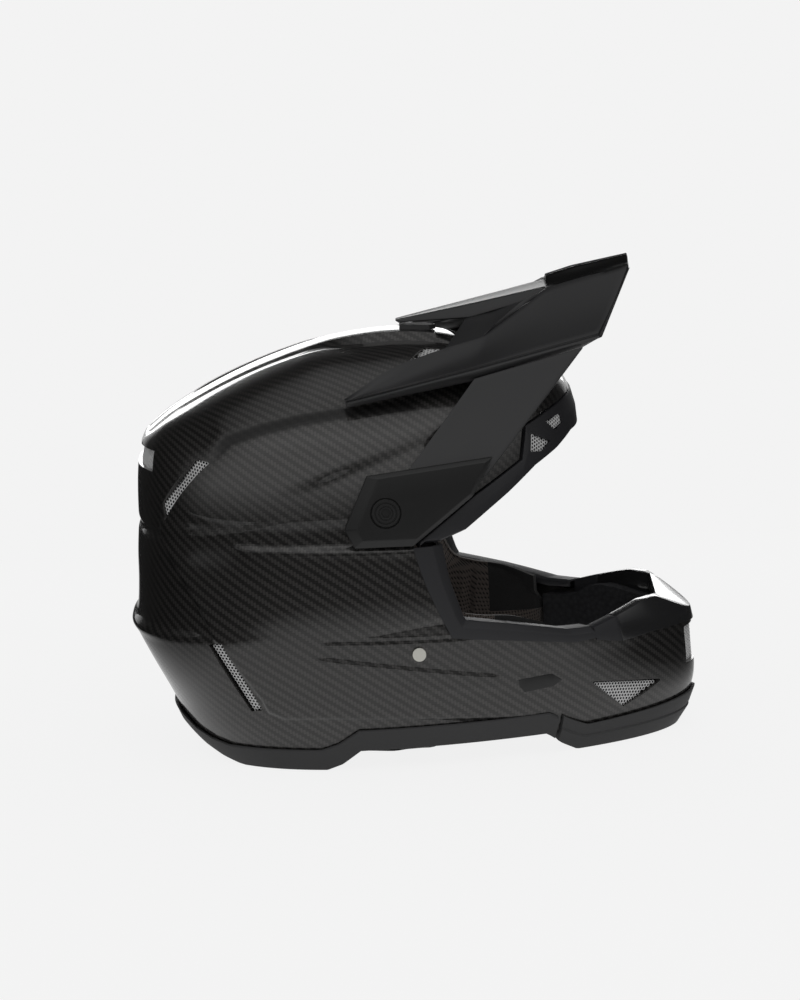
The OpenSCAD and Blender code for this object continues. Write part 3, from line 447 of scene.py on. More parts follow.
# Materials
class Tree:
    """The nodes of a material or of the world, with short ways to write shader maths."""

    def __init__(self, owner, empty=False):
        owner.use_nodes = True
        self.tree = owner.node_tree
        if empty:
            self.tree.nodes.clear()

    def feed(self, socket, value):
        if isinstance(value, bpy.types.NodeSocket):
            self.tree.links.new(value, socket)
        elif value is not None:
            socket.default_value = value

    def node(self, kind, inputs=(), out=0, **settings):
        node = self.tree.nodes.new(kind)
        for key, value in settings.items():
            setattr(node, key, value)
        for key, value in dict(inputs).items():
            self.feed(node.inputs[key], value)
        return node.outputs[out]

    def math(self, operation, a, b=None, clamp=False):
        return self.node("ShaderNodeMath", {0: a, 1: b}, operation=operation, use_clamp=clamp)

    def plus(self, a, b):
        return self.math("ADD", a, b)

    def minus(self, a, b, clamp=False):
        return self.math("SUBTRACT", a, b, clamp)

    def times(self, a, b):
        return self.math("MULTIPLY", a, b)

    def either(self, factor, a, b):
        """a where the factor is 0, and b where it is 1."""
        return self.plus(self.times(self.minus(1.0, factor), a), self.times(factor, b))

    def ramp(self, value, low, high):
        """0 at low and 1 at high."""
        return self.math("DIVIDE", self.minus(value, low), high - low, clamp=True)

    def colour(self, factor, a, b):
        a, b = [v if isinstance(v, bpy.types.NodeSocket) else (*v, 1) for v in (a, b)]
        return self.node("ShaderNodeMix", {"Factor": factor, "A": a, "B": b}, "Result", data_type="RGBA")

    def blend(self, factor, a, b):
        return self.node("ShaderNodeMix", {"Factor": factor, "A": a, "B": b}, data_type="FLOAT")

    def place(self):
        return self.node("ShaderNodeTexCoord", out="Object")

    def stored(self, name, out="Fac"):
        return self.node("ShaderNodeAttribute", out=out, attribute_name=name)

    def ray(self, kind):
        return self.node("ShaderNodeLightPath", out=f"Is {kind} Ray")

    def noise(self, scale, detail=2.0, out="Fac"):
        inputs = {"Vector": self.place(), "Scale": scale, "Detail": detail}
        return self.node("ShaderNodeTexNoise", inputs, out)

    def split(self, vector):
        return self.node("ShaderNodeSeparateXYZ", {0: vector}, slice(3))

    def bump(self, height, depth, strength):
        inputs = {"Height": height, "Distance": depth * MM, "Strength": strength}
        return self.node("ShaderNodeBump", inputs, "Normal")

    def end(self, kind, shader):
        self.feed(self.tree.nodes.new(kind).inputs["Surface"], shader)


class Finish(Tree):
    """A material around one Principled shader."""

    def __init__(self, name, **sockets):
        self.material = bpy.data.materials.new(name)
        super().__init__(self.material)
        self.set(**sockets)

    def set(self, **sockets):
        shader = self.tree.nodes["Principled BSDF"]
        for key, value in sockets.items():
            self.feed(shader.inputs[key.replace("_", " ")], value)
        return self.material


TWILL_TURN = -8.0  # how far the cloth is laid from level
TOW = 1.75  # width of one carbon tow, so that the twill repeats every four tows


def carbon_material():
    """Clear-coated 2 by 2 twill: tows over and under in steps, with a soft relief. Its paler weft is a
    painted sheen, the darkening towards each tow's edges is painted shade, and so is a dark band below the
    shell's ledge.
    """
    g = Finish("carbon_twill", Coat_Weight=1.0, Coat_Roughness=0.03, Coat_IOR=1.5, Metallic=0.8)
    drift = g.node("ShaderNodeVectorMath", {0: g.noise(9.0, out="Color"), "Scale": 1.4}, operation="SCALE")
    cloth = g.node("ShaderNodeVectorMath", {0: g.stored("weave", "Vector"), 1: drift}, operation="ADD")
    u, v = [g.math("DIVIDE", across, TOW) for across in g.split(cloth)[:2]]
    step = g.plus(g.math("FLOOR", u), g.math("FLOOR", v))
    over = g.math("LESS_THAN", g.math("FLOORED_MODULO", step, 4.0), 2.0)
    across_u, across_v = [g.math("PINGPONG", g.math("FRACT", w), 0.5) for w in (u, v)]
    crown = g.blend(over, across_v, across_u)
    fibre = g.noise(900.0, 1.0)
    # warp and weft are one carbon: the weft's paler tone is a painted sheen of fibres that catch the light
    warp = g.colour(fibre, (0.030, 0.029, 0.028), (0.044, 0.0425, 0.041))
    weft = g.colour(fibre, (0.070, 0.067, 0.065), (0.094, 0.090, 0.087))
    # painted shade, darker towards each tow's edges where the rounded tows dip
    tow_edge_shade = g.times(g.minus(0.5, crown), 0.7)
    shade = g.colour(tow_edge_shade, g.colour(over, warp, weft), (0.012, 0.012, 0.012))
    # painted shade: a darker, less coated band just below the shell's ledge
    painted_ledge_shade = g.stored("painted_ledge_shade")
    return g.set(Base_Color=g.colour(painted_ledge_shade, shade, (0.008, 0.008, 0.008)),
                 Roughness=g.plus(0.36, g.times(over, 0.12)),
                 Coat_Weight=g.minus(1.0, g.times(painted_ledge_shade, 0.85)), Normal=g.bump(crown, 0.10, 0.55))


def moulded_material(name, colour, light, roughness, grain=0.02, coat=0.0):
    """Injection moulded plastic: fine spark texture, slight cloudiness, rubbed paler in places."""
    g = Finish(name, Specular_IOR_Level=0.5, Coat_Weight=coat, Coat_Roughness=0.12)
    cloud = g.noise(14.0, 3.0)
    return g.set(Base_Color=g.colour(cloud, colour, light),
                 Roughness=g.plus(roughness - 0.05, g.times(cloud, 0.1)),
                 Normal=g.bump(g.noise(2600.0), grain, 0.6))


def visor_material():
    """Satin black over most of the visor, glossier on the top of its hood, which is also painted blacker as
    the dark reflection it shows.
    """
    g = Finish("visor_satin", Specular_IOR_Level=0.5, Coat_Roughness=0.05)
    gloss_and_painted_shade = g.stored("gloss_and_painted_shade")
    cloud = g.noise(10.0)
    rough = g.minus(g.plus(0.34, g.times(cloud, 0.06)), g.times(gloss_and_painted_shade, 0.14), clamp=True)
    tone = g.colour(cloud, (0.024, 0.024, 0.025), (0.031, 0.031, 0.032))
    # painted shade: the hood's top is painted near black as the dark reflection it shows, beyond its real
    # gloss
    return g.set(Base_Color=g.colour(gloss_and_painted_shade, tone, (0.006, 0.006, 0.006)), Roughness=rough,
                 Normal=g.bump(g.noise(2400.0), 0.012, 0.5))


def metal_material(name, colour, roughness, shine=1.0):
    g = Finish(name, Metallic=shine)
    fine = g.noise(900.0, 3.0)
    tone = g.colour(g.noise(60.0), colour, [min(1, c * 1.25) for c in colour])
    return g.set(Base_Color=tone, Roughness=g.plus(roughness - 0.06, g.times(fine, 0.14)),
                 Normal=g.bump(fine, 0.02, 0.4))


def foam_material():
    """Moulded bead foam: fused cells with darker seams between them."""
    g = Finish("bead_foam", Specular_IOR_Level=0.25)
    cells = g.node("ShaderNodeTexVoronoi", {"Vector": g.place(), "Scale": 330.0}, "Distance", feature="F1")
    tone = g.colour(cells, (0.045, 0.045, 0.048), (0.022, 0.022, 0.024))
    return g.set(Base_Color=tone, Roughness=0.85, Normal=g.bump(cells, -0.5, 0.6))


def knit(name, pitch, hole, dark, pale):
    """A knitted mesh fabric's nodes, threads, fuzz and colour. Its holes lie in the side view's plane."""
    g = Finish(name, Sheen_Weight=0.35, Sheen_Roughness=0.5, Specular_IOR_Level=0.2)
    x, y, z = g.split(g.place())
    per = 2 * math.pi / (pitch * MM)
    u, v = g.times(g.plus(x, y), per), g.times(g.minus(z, g.times(y, 0.6)), per)
    wave = g.times(g.math("COSINE", g.plus(u, v)), g.math("COSINE", g.minus(u, v)))
    thread = g.minus(1.0, g.math("MULTIPLY", g.plus(wave, 0.1), 1.0, clamp=True), clamp=True)
    fuzz = g.noise(1500.0, 3.0)
    return g, thread, fuzz, g.colour(thread, hole, g.colour(fuzz, dark, pale))


PANEL_X = 49.0
ROLL_Z = 62.0


def pad_material():
    """Air mesh over most of a pad, with a smooth panel in front of PANEL_X and over ROLL_Z."""
    g, thread, fuzz, mesh = knit("pad_fabric", 4.2, (0.012, 0.010, 0.009), (0.085, 0.070, 0.062),
                                 (0.14, 0.116, 0.102))
    plain = g.colour(fuzz, (0.012, 0.012, 0.012), (0.022, 0.021, 0.021))
    x, _, z = g.split(g.place())
    front = g.times(g.math("GREATER_THAN", x, PANEL_X * MM), g.math("GREATER_THAN", z, ROLL_Z * MM))
    return g.set(Base_Color=g.colour(front, mesh, plain), Roughness=0.8,
                 Normal=g.bump(g.blend(front, thread, fuzz), 0.5, 0.8))


def liner_material():
    g, thread, _, tone = knit("liner_fabric", 3.4, (0.008, 0.008, 0.008), (0.03, 0.028, 0.027),
                              (0.055, 0.05, 0.047))
    return g.set(Base_Color=tone, Roughness=0.8, Normal=g.bump(thread, 0.4, 0.8))


def webbing_material():
    """Woven nylon: fine ribs across the strap and a herringbone sheen. Its colour follows their height:
    painted shade in the valleys, painted sheen on the crests.
    """
    g = Finish("webbing", Sheen_Weight=0.3, Sheen_Roughness=0.4, Specular_IOR_Level=0.35)
    u, v, _ = g.split(g.stored("weave", "Vector"))
    rib = g.math("SINE", g.times(u, 2 * math.pi / 1.3))
    side = g.math("SINE", g.times(g.plus(v, g.times(u, 0.5)), 2 * math.pi / 2.4))
    height = g.plus(rib, g.times(side, 0.6))
    # painted shade and sheen: the colour follows the weave's height, dark in its valleys and pale on its
    # crests
    level = g.math("MULTIPLY", g.plus(height, 1.6), 0.31, clamp=True)
    tone = g.colour(level, (0.008, 0.008, 0.008), (0.035, 0.035, 0.036))
    return g.set(Base_Color=tone, Roughness=0.6, Normal=g.bump(height, 0.15, 0.8))


CARBON = carbon_material()
SATIN = visor_material()
TRIM = moulded_material("matte_trim", (0.020, 0.020, 0.023), (0.027, 0.027, 0.030), 0.52)
RUBBER = moulded_material("rubber_trim", (0.042, 0.042, 0.043), (0.058, 0.058, 0.059), 0.62, grain=0.04)
GLOSS = moulded_material("lip_gloss", (0.016, 0.016, 0.017), (0.021, 0.021, 0.022), 0.30, 0.006, coat=1.0)
POD = moulded_material("pod_satin", (0.012, 0.012, 0.012), (0.018, 0.018, 0.018), 0.4)
SCREW = moulded_material("screw_black", (0.013, 0.013, 0.013), (0.02, 0.02, 0.02), 0.42)
MESH = metal_material("screen_wire", (0.72, 0.72, 0.72), 0.42, shine=0.2)
STEEL = metal_material("bare_steel", (0.62, 0.61, 0.58), 0.3)
RIVET = moulded_material("rivet_paint", (0.80, 0.79, 0.72), (0.86, 0.85, 0.78), 0.4)
FOAM = foam_material()
PAD = pad_material()
LINER = liner_material()
WEBBING = webbing_material()

# Outer shell
SHELL_COLUMNS = 880
SHELL_STEP = 1.2
DOME_ROWS = 120
LEAN = 6.0  # how fast the dome falls away from the ridge's foot
CREST_SHARE = [1.0, 0.96, 0.8, 0.6, 0.4, 0.2, 0.04]
INNER_DEPTH = -SHELL_T - 1.2
OFF_MIDDLE = 0.01  # keeps sections off the middle plane itself


def along(line, x, z):
    """Distance to a side view line, positive on its left, with the place along it and its length."""
    p = np.array(line, float)
    best = np.full(x.shape, 1e9)
    side = np.zeros(x.shape)
    place = np.zeros(x.shape)
    run = 0.0
    for a, d in zip(p, np.diff(p, axis=0)):
        length = np.hypot(*d)
        t = np.clip(((x - a[0]) * d[0] + (z - a[1]) * d[1]) / length**2, 0, 1)
        px, pz = x - a[0] - t * d[0], z - a[1] - t * d[1]
        dist = np.hypot(px, pz)
        near = dist < best
        best = np.where(near, dist, best)
        side = np.where(near, np.sign(d[0] * pz - d[1] * px) * dist, side)
        place = np.where(near, run + t * length, place)
        run += length
    return side, place, run


def ends(place, length, first, last):
    """Fades a feature in over its first and last stretches."""
    return smoothstep(place / first) * smoothstep((length - place) / last)


def raised(line, x, z, height, soft, fade, first, last):
    """A step up on the left of a line, which fades back over a distance on that side."""
    d, place, length = along(line, x, z)
    back = np.exp(-np.maximum(np.abs(d) - soft, 0) / fade)
    return height * smoothstep(d / soft + 0.5) * back * ends(place, length, first, last)


LEDGE = [(-129, 195), (-112, 211), (-90, 218), (-67, 223), (-34, 227.5), (10, 229)]
REAR_CREASE = [(-156, 165), (-158, 149), (-149, 132), (-131, 100), (-126, 88), (-121, 82), (-98, 49),
               (-94, 40), (-84, 36), (-56, 36), (-13, 34), (37, 30), (88, 25)]
POD_LEDGE = [(-86, 180), (-62, 186), (-36, 195), (-10, 203), (60, 226)]
UNDER_POD = [(16, 144), (-51, 145.5), (-95, 146.5), (-112, 148)]
WEDGE_TOP = [(-60, 88), (-23, 90.5), (27, 98), (40, 101)]
WEDGE_LOW = [(-60, 87), (-11, 85.5), (45, 84)]
FAINT_LINE = [(56, 56), (-11, 68), (-54, 75), (-70, 77)]
FAINT_GROOVE = [(-24, 49), (13, 50), (58, 48)]
# The shell's steps: line, height, softness, fade, and the stretches over which its ends fade
STEPS = [(LEDGE, 2.2, 5.0, 16, 26, 75), (REAR_CREASE, 1.5, 2.4, 26, 14, 40),
         (UNDER_POD, 1.1, 3.0, 9, 26, 14), (FAINT_LINE, 0.7, 2.0, 12, 14, 20),
         (FAINT_GROOVE, 0.8, 1.6, 9, 20, 12)]
# Level bands round the rear: height on the shell, how far they stand out, and half their width
REAR_BANDS = [(87, 1.4, 4.0), (149, -1.6, 3.0)]
REAR_BAND_A = 142.0
POD_DEPTH = 2.2
WEDGE_DEPTH = 1.7
GROOVE_DEPTH, GROOVE_WIDTH = 0.5, 1.1


def relief(x, z, a):
    """How far the shell's ledges and creases stand out of its plain surface."""
    g = sum(raised(line, x, z, *shape) for line, *shape in STEPS)
    pod = smoothstep(0.5 - along(POD_LEDGE, x, z)[0] / 10) * smoothstep(0.5 - along(UNDER_POD, x, z)[0] / 4)
    g -= POD_DEPTH * pod * smoothstep((x + 88) / 46) * smoothstep((40 - x) / 30)
    d, place, length = along(WEDGE_LOW, x, z)
    wedge = smoothstep(0.5 - along(WEDGE_TOP, x, z)[0] / 2.6) * smoothstep(d / 9)
    g -= WEDGE_DEPTH * wedge * smoothstep((x + 62) / 14) * smoothstep((60 - x) / 8)
    g -= GROOVE_DEPTH * np.exp(-(d / GROOVE_WIDTH) ** 2) * ends(place, length, 6, 20)
    behind = smoothstep((np.abs(((a + 180) % 360) - 180) - REAR_BAND_A) / 14)
    for level, height, width in REAR_BANDS:
        g += height * behind * np.exp(-((z - level) / width) ** 2)
    return g


def dome_turns(rows):
    return np.radians(np.linspace(0, 90, rows + 1)[1:])[:, None]


def shell_grid(columns, heights, dome_rows, g, ridge=True):
    """Rows of points round the shell: up its side, over its dome, and across its ridge."""
    a = (np.arange(columns) + 0.5) * 360 / columns
    low = ring(np.array(heights)[:, None], a[None], g)
    up = dome(a[None], np.sin(dome_turns(dome_rows)) ** (2 / dome_squareness(a))[None], g)
    rows = [low, up]
    if ridge:
        f = foot(a, g)
        rise = ridge_rise(f[:, 0]) * np.clip((RIDGE_FRONT - f[:, 0]) / 40, 0.02, 1)
        share = np.array(CREST_SHARE)[:, None]
        half = f[:, 1] * RIDGE_HALF / (RIDGE_HALF + RIDGE_RISE)
        crown = rise + 0.5 * (1 - share**2)
        rows.append(np.stack([np.broadcast_to(f[:, 0], crown.shape), half * share, f[:, 2] + crown], -1))
    return a, np.concatenate(rows)


def closed_form(name, rows):
    """A solid from rows of rings, closed below and above across the middle."""
    n, k = rows.shape[:2]
    strip = cross_strip(k)
    faces = grid_faces(n, k, wrap=True) + strip[:, ::-1].tolist() + (strip + (n - 1) * k).tolist()
    return mesh_object(name, rows, faces)


def weave_of(rows, a):
    """Where each point of the shell lies on its cloth: forward along each row, and up each column."""
    up = lengths(rows, 0)
    run = lengths(rows, 1)
    left, right = [run[:, [np.argmin(np.abs(a - middle))]] for middle in (90, 270)]
    forward = np.where(a < 180, left - run, run - right)
    c, s = math.cos(math.radians(TWILL_TURN)), math.sin(math.radians(TWILL_TURN))
    return np.stack([forward * c - up * s, forward * s + up * c, np.zeros_like(up)], -1)


def vent_cutter(outline, out, inside, r):
    pts = np.concatenate([seen(outline, out), seen(outline, -inside)])
    offsets = r * np.concatenate([np.eye(3), -np.eye(3)])
    return hull(pts[:, None] + offsets[None])


def wedge_cutter(mid, spread, z, out, inside):
    a = mid + spread * np.linspace(-1, 1, 5)
    return hull(np.concatenate([surf(a, h, g) for g in (out, -inside) for h in z]))


def both_sides(make):
    left = make()
    return [left, mirror_y(left, "cut")]


def shell_cutters():
    """Everything that is cut out of the shell: its inside, its edges, its vents and its holes."""
    heights = [-12] + list(np.arange(-4, WIDE_Z + 1, 7.7))
    eye = PILLAR_OUTER + LOWER_OUTER[1:4] + LIP_EDGE + BROW_OUTER[:0:-1]
    base = [(x, z + BASE_LIFT) for x, z in BASE_LINE] + [(190, -60), (-190, -60)]
    cutters = [closed_form("inner", shell_grid(200, heights, 22, INNER_DEPTH, ridge=False)[1]),
               prism(eye), prism(base)]
    for name, outline in SHELL_VENTS.items():
        cutters += both_sides(lambda: vent_cutter(outline, 6 if name == "crown" else 4, 9, 0.8))
    cutters += [wedge_cutter(180, EXHAUST_ANGLE, EXHAUST_Z, 4, 9),
                wedge_cutter(0, FRONT_VENT_ANGLE, FRONT_VENT_Z, 4, 9)]
    rivet = seen([RIVET_AT], 0)[0]
    seat = seen([PIVOT[[0, 2]]], 0)[0][1] - 0.6
    for centre, r, y0, y1 in ((PIVOT, 11.4, seat, seat + 20), (PIVOT, 4.4, seat - 10, seat + 10),
                              (rivet, 2.5, rivet[1] - 10, rivet[1] + 10)):
        cutters += both_sides(lambda: rod(centre, r, y0, y1))
    return cutters


def outer_shell():
    heights = np.arange(-6, WIDE_Z + 0.1, SHELL_STEP)
    a, rows = shell_grid(SHELL_COLUMNS, heights, DOME_ROWS, 0)
    grown = unit(shell_grid(SHELL_COLUMNS, heights, DOME_ROWS, 1)[1] - rows)
    x, z = rows[..., 0], rows[..., 2]
    amount = relief(x, z, a[None])
    amount[-len(CREST_SHARE) - 6:] = 0
    away = np.cos(dome_turns(DOME_ROWS)) ** (2 / dome_squareness(a))[None]
    amount[len(heights):len(heights) + DOME_ROWS] -= LEAN * away * (1 - away) ** 4
    shell = closed_form("outer_shell_carbon", rows + grown * amount[..., None])
    store(shell, "weave", weave_of(rows, a), "FLOAT_VECTOR")
    # painted shade along the foot of the ledge, for the carbon material
    d, place, length = along(LEDGE, x, z)
    store(shell, "painted_ledge_shade", 0.8 * np.exp(-((d + 1) / 3.2) ** 4) * ends(place, length, 20, 10))
    combine(shell, shell_cutters())
    piece(smooth(shell, 40), "helmet", "carbon_shell", CARBON, "outer_shell")


outer_shell()

# Trims
PER_RADIAN = 57.3


def rounded(points, radius=0.7, steps=4):
    """A closed outline of flat pairs with its corners rounded."""
    p = np.array(points, float)
    out = []
    for i, corner in enumerate(p):
        before, after = p[i - 1], p[(i + 1) % len(p)]
        reach = [min(radius, np.linalg.norm(q - corner) * 0.45) for q in (before, after)]
        a = corner + (before - corner) / np.linalg.norm(before - corner) * reach[0]
        b = corner + (after - corner) / np.linalg.norm(after - corner) * reach[1]
        out += [(1 - t) ** 2 * a + 2 * t * (1 - t) * corner + t * t * b for t in np.linspace(0, 1, steps)]
    return np.array(out)


def wall(outer, inner, radius=0.7):
    """The section of a wall between two open lines."""
    return rounded(outer + inner[::-1], radius)


def refine(stations, per):
    """More stations along a list of them, in straight steps."""
    s = np.array(stations, float)
    t = np.linspace(0, len(s) - 1, (len(s) - 1) * per + 1)
    return np.stack([np.interp(t, np.arange(len(s)), column) for column in s.T], -1)


def both_halves(sections):
    """Sections up to the middle plane, and their mirror images beyond it."""
    return sections + [s * (1, -1, 1) for s in sections[-2::-1]]


def edge_section(a, z, dx, dz, scale, profile):
    """A wall along the shell's edge: each profile point is a growth and a distance from the edge."""
    g, d = profile[:, 0], profile[:, 1] * scale
    return surf(a - d * dx * PER_RADIAN / reach_at(z, 0, 0), z + d * dz, g)


EYE_OUTER = [(0.9, -0.7), (0.9, 7), (-3, 12), (-TRIM_DEPTH, 12.5), (-TRIM_DEPTH - 2, 10),
             (-TRIM_DEPTH - 2, 5)]
EYE_INNER = [(0.9 - TRIM_T, 0.3), (0.9 - TRIM_T, 6.4), (-4.4, 10), (1.4 - TRIM_DEPTH, 10.4),
             (-TRIM_DEPTH, 9), (-TRIM_DEPTH, 5)]
LOWER_WIDTH = [(22, 1.0), (64, 0.86), (96, 0.70), (113, 0.58)]
CORNER_START = 113.0
LIP_START = 127.0
DECK_X = 153.0
DECK_WALL = 13.0
DECK_T = 2.0
WALL_LOW = [(110, 72.5), (126, 68.5), (147, 70.5), (165, 70), (181, 66.7)]
CREASE = [(104, 78), (145, 91), (153, 91), (181, 73.2)]
DECK_Z = 91.0


def deck_section(a):
    """The wall over the shell's edge, the crease, the deck's slope up to its edge, and the wall inside."""
    x = surf(a, 80, 0)[0]
    cut = line_at(LOWER_OUTER[:4] + LIP_EDGE, x)
    low, high = line_at(WALL_LOW, x), 85.0
    for _ in range(8):
        high = line_at(CREASE, surf(a, high, 0.9)[0])
    crease = surf(a, high, 0.9)
    inner = np.array([min(crease[0] - 6, DECK_X), crease[1] * 0.92, DECK_Z if crease[0] > 150 else high])
    out = (crease - inner) * (1, 1, 0)
    out *= DECK_T / np.linalg.norm(out)
    foot_of = inner - out * 0.6 - (0, 0, DECK_WALL)
    return [surf(a, low, 1.3), crease, inner, foot_of, foot_of + out, inner + out - (0, 0, 2.2),
            surf(a, high - 1.8, -1.2), surf(a, cut + 0.3, -0.7), surf(a, cut + 0.2, 0.2), surf(a, low, 0.2)]


def eyeport_trim():
    lower_x = np.array([CORNER_START, 106, 98, 88, 76, 64, 52, 42, 33])
    stations = [(angle_at(x, z), z, 0, 1, line_at(LOWER_WIDTH, x))
                for x, z in zip(lower_x, line_at(LOWER_OUTER, lower_x))]
    stations += [(angle_at(22, 85), 85, 0.85, 0.75, 1.15)]
    for z in (97, 108, 120, 132, 144):
        x = line_at([(q, p) for p, q in PILLAR_OUTER[::-1]], z)
        stations.append((angle_at(x, z), z, 1, 0 if z > 140 else 0.15, mix(1.15, 1.6, (z - 85) / 60)))
    profile = wall(EYE_OUTER, EYE_INNER)
    left = loft("eyeport_trim_left", [edge_section(*s, profile) for s in refine(stations, 5)])
    corner_x = np.linspace(LIP_START, CORNER_START - 1, 9)
    turns = [float(angle_at(x, line_at(LOWER_OUTER, x))) for x in corner_x]
    corner = bevel(loft("corner", [deck_section(a) for a in turns]), 0.5, 2, 25)
    combine(left, [corner], "UNION")
    pair(left, 32, "helmet", "matte_trim", TRIM, "eyeport_trim")


def chin_lip():
    span = float(angle_at(LIP_START, line_at(LOWER_OUTER, LIP_START)))
    lip = loft("chin_lip_moulding", [deck_section(a) for a in np.linspace(-span, span, 73) + OFF_MIDDLE])
    piece(smooth(bevel(lip, 0.5, 2, 25), 32), "helmet", "matte_trim", GLOSS, "chin_lip")


BROW_GAP = 0.4
BROW_DEPTH = 24.0
BROW_BACK = 0.6 - TRIM_T - 0.4
BROW_SIDE_X = [4, 10, 17, 27, 38.6, 46, 54, 62, 69.6, 72.6, 77, 82, 87.6, 93, 98]
BROW_FRONT_A = [19, 15, 11, 7, 2.5, -0.01]


def brow_section(a, top):
    x0 = surf(a, top - 20, 0)[0]
    low = min(line_at(BROW_INNER, surf(a, line_at(BROW_INNER, x0), 0)[0]), top - 3)
    middle = mix(low, top, 0.5)
    flat = rounded([(0.6, top), (1, middle), (0.8, low + 1), (-3, low - 1.2), (-BROW_DEPTH, low + 2),
                    (-BROW_DEPTH, low + 8), (-BROW_DEPTH + TRIM_T, low + 8),
                    (-BROW_DEPTH + TRIM_T, low + 4), (-4, low + 1), (BROW_BACK + 0.2, low + 3),
                    (BROW_BACK + 0.4, middle), (BROW_BACK, top)], 0.6)
    return surf(a, flat[:, 1], flat[:, 0])


def brow_frame():
    rim = [(x + 4 * BROW_GAP, z - BROW_GAP) for x, z in BROW_OUTER]
    stations = [(float(angle_at(x, line_at(rim, x))), line_at(rim, x)) for x in BROW_SIDE_X]
    stations += [(a, line_at(rim, surf(a, 221, 0)[0])) for a in BROW_FRONT_A]
    moulding = loft("brow_frame_moulding", both_halves([brow_section(a, z) for a, z in refine(stations, 5)]))
    cutters = []
    for outline in BROW_VENTS.values():
        cutters += both_sides(lambda: vent_cutter(outline, 4, 3.5, 0.6))
    combine(moulding, cutters)
    piece(smooth(moulding, 40), "helmet", "matte_trim", TRIM, "brow_frame")


def base_section(a, profile):
    """A wall along the shell's base edge at one plan angle."""
    g, z = profile[:, 0], np.full(len(profile), 14.0)
    for _ in range(4):
        z = line_at(BASE_LINE, surf(a, z, g)[..., 0]) + BASE_LIFT
    return surf(a, z + profile[:, 1], g)


BASE_SIDE_X = [84, 72, 60, 48, 36, 24, 12, 0, -12, -25, -38, -44, -50, -55, -60, -72, -86, -100, -115,
               -121, -127, -133, -138]
BASE_REAR_A = [157, 163, 168, 173, 177.5, 180]
BASE_H = 11.0
GUARD_H = 18.0
GUARD_STEP = 0.6
INSIDE = -SHELL_T - TRIM_GAP
BASE_OUT = TRIM_GAP + TRIM_T
BASE_FLOOR = [(INSIDE - TRIM_T, -BASE_LIFT), (INSIDE - TRIM_T, 6)]
BASE_CHANNEL = [(TRIM_GAP, -EDGE_GAP), (INSIDE, -EDGE_GAP), (INSIDE, 6)]


def base_trim():
    profile = wall([(TRIM_GAP, BASE_H + 0.3), (BASE_OUT, BASE_H - 1), (BASE_OUT, -BASE_LIFT)] + BASE_FLOOR,
                   [(TRIM_GAP, BASE_H - 0.5)] + BASE_CHANNEL)
    angles = [float(angle_at(x, line_at(BASE_LINE, x) + BASE_LIFT)) for x in BASE_SIDE_X] + BASE_REAR_A
    sections = []
    for a in refine([(a,) for a in angles], 4)[:, 0]:
        height = mix(0.5, 1.0, smoothstep((surf(a, 15, 0)[0] + 160) / 45))
        sections.append(base_section(a, profile * np.where(profile[:, 1:] > 0, (1, height), 1)))
    trim = loft("base_trim_rubber", both_halves(sections))
    piece(smooth(trim, 50), "helmet", "rubber_trim", RUBBER, "base_trim")


def chin_base_guard():
    span = float(angle_at(84, 16)) - 1
    out = BASE_OUT + GUARD_STEP
    sections = []
    for a in np.linspace(-span, span, 121) + OFF_MIDDLE:
        h = GUARD_H * mix(1.15, 0.75, np.clip(abs(a) / 45, 0, 1))
        outer = [(out - 0.6, h), (out - 0.6, h / 2), (out - 1.2, h / 2 - 1), (out, h / 2 - 2),
                 (out, -BASE_LIFT)]
        sections.append(base_section(a, wall(outer + BASE_FLOOR, [(TRIM_GAP, h)] + BASE_CHANNEL, 0.5)))
    guard = smooth(loft("chin_base_guard_rubber", sections), 50)
    piece(guard, "helmet", "rubber_trim", RUBBER, "chin_base_guard")


eyeport_trim()
chin_lip()
brow_frame()
base_trim()
chin_base_guard()

# Mesh screens
CELL = 2.3
WIRE = 0.8
SCREEN_T = 0.5
SCREEN_LAP = 0.7
SCREEN_G = -2.0
BROW_SCREEN_G = -0.8
BROW_NODE = "brow_screens"
# Screens across the middle: name, plan angle, half spread, number of flat sheets and heights
MIDDLE_SCREENS = [("chin_front", 0, FRONT_VENT_ANGLE, 2, FRONT_VENT_Z),
                  ("rear_exhaust", 180, EXHAUST_ANGLE, 6, EXHAUST_Z)]


def inside_of(points, outline):
    x, y = points.T
    hit = np.zeros(len(points), bool)
    for a, b in zip(outline, np.roll(outline, -1, 0)):
        at = (b[0] - a[0]) * (y - a[1]) / (b[1] - a[1] + 1e-9) + a[0]
        hit ^= ((a[1] > y) != (b[1] > y)) & (x < at)
    return hit


def honeycomb(name, corners, node):
    """A flat sheet of six-sided cells behind a vent, in the plane of its corners."""
    o = corners.mean(0)
    n = unit(np.cross(corners[1] - o, corners[0] - o))
    n *= np.sign(n @ (o - (WIDE_X, 0, 100)))
    u = corners[-1] - corners[0]
    u = unit(u - n * (u @ n))
    v = np.cross(n, u)
    flat = np.stack([(corners - o) @ u, (corners - o) @ v], -1)
    outline = flat + SCREEN_LAP * unit(flat)
    span = int(np.abs(outline).max() / CELL) + 2
    i, j = np.meshgrid(np.arange(-span, span + 1), np.arange(-span, span + 1))
    centres = np.stack([(i + 0.5 * (j % 2)) * CELL, j * CELL * math.sqrt(3) / 2], -1).reshape(-1, 2)
    centres = centres[inside_of(centres, outline)]
    t = np.radians(np.arange(6) * 60 + 30)
    star = np.stack([np.cos(t), np.sin(t)], -1)
    outer = CELL / math.sqrt(3)
    cells = [centres[:, None] + star[None] * r for r in (outer, outer - WIRE / 2 * 1.155)]
    pts = np.concatenate(cells, 1).reshape(-1, 2)
    faces = [[12 * k + s, 12 * k + (s + 1) % 6, 12 * k + 6 + (s + 1) % 6, 12 * k + 6 + s]
             for k in range(len(centres)) for s in range(6)]
    obj = outward(mesh_object(name, o + pts[:, :1] * u + pts[:, 1:] * v, faces), 0.02)
    solid = obj.modifiers.new("solid", "SOLIDIFY")
    solid.thickness, solid.offset = SCREEN_T * MM, 0
    apply_modifiers(obj)
    piece(obj, "helmet", "mesh_metal", MESH, node)


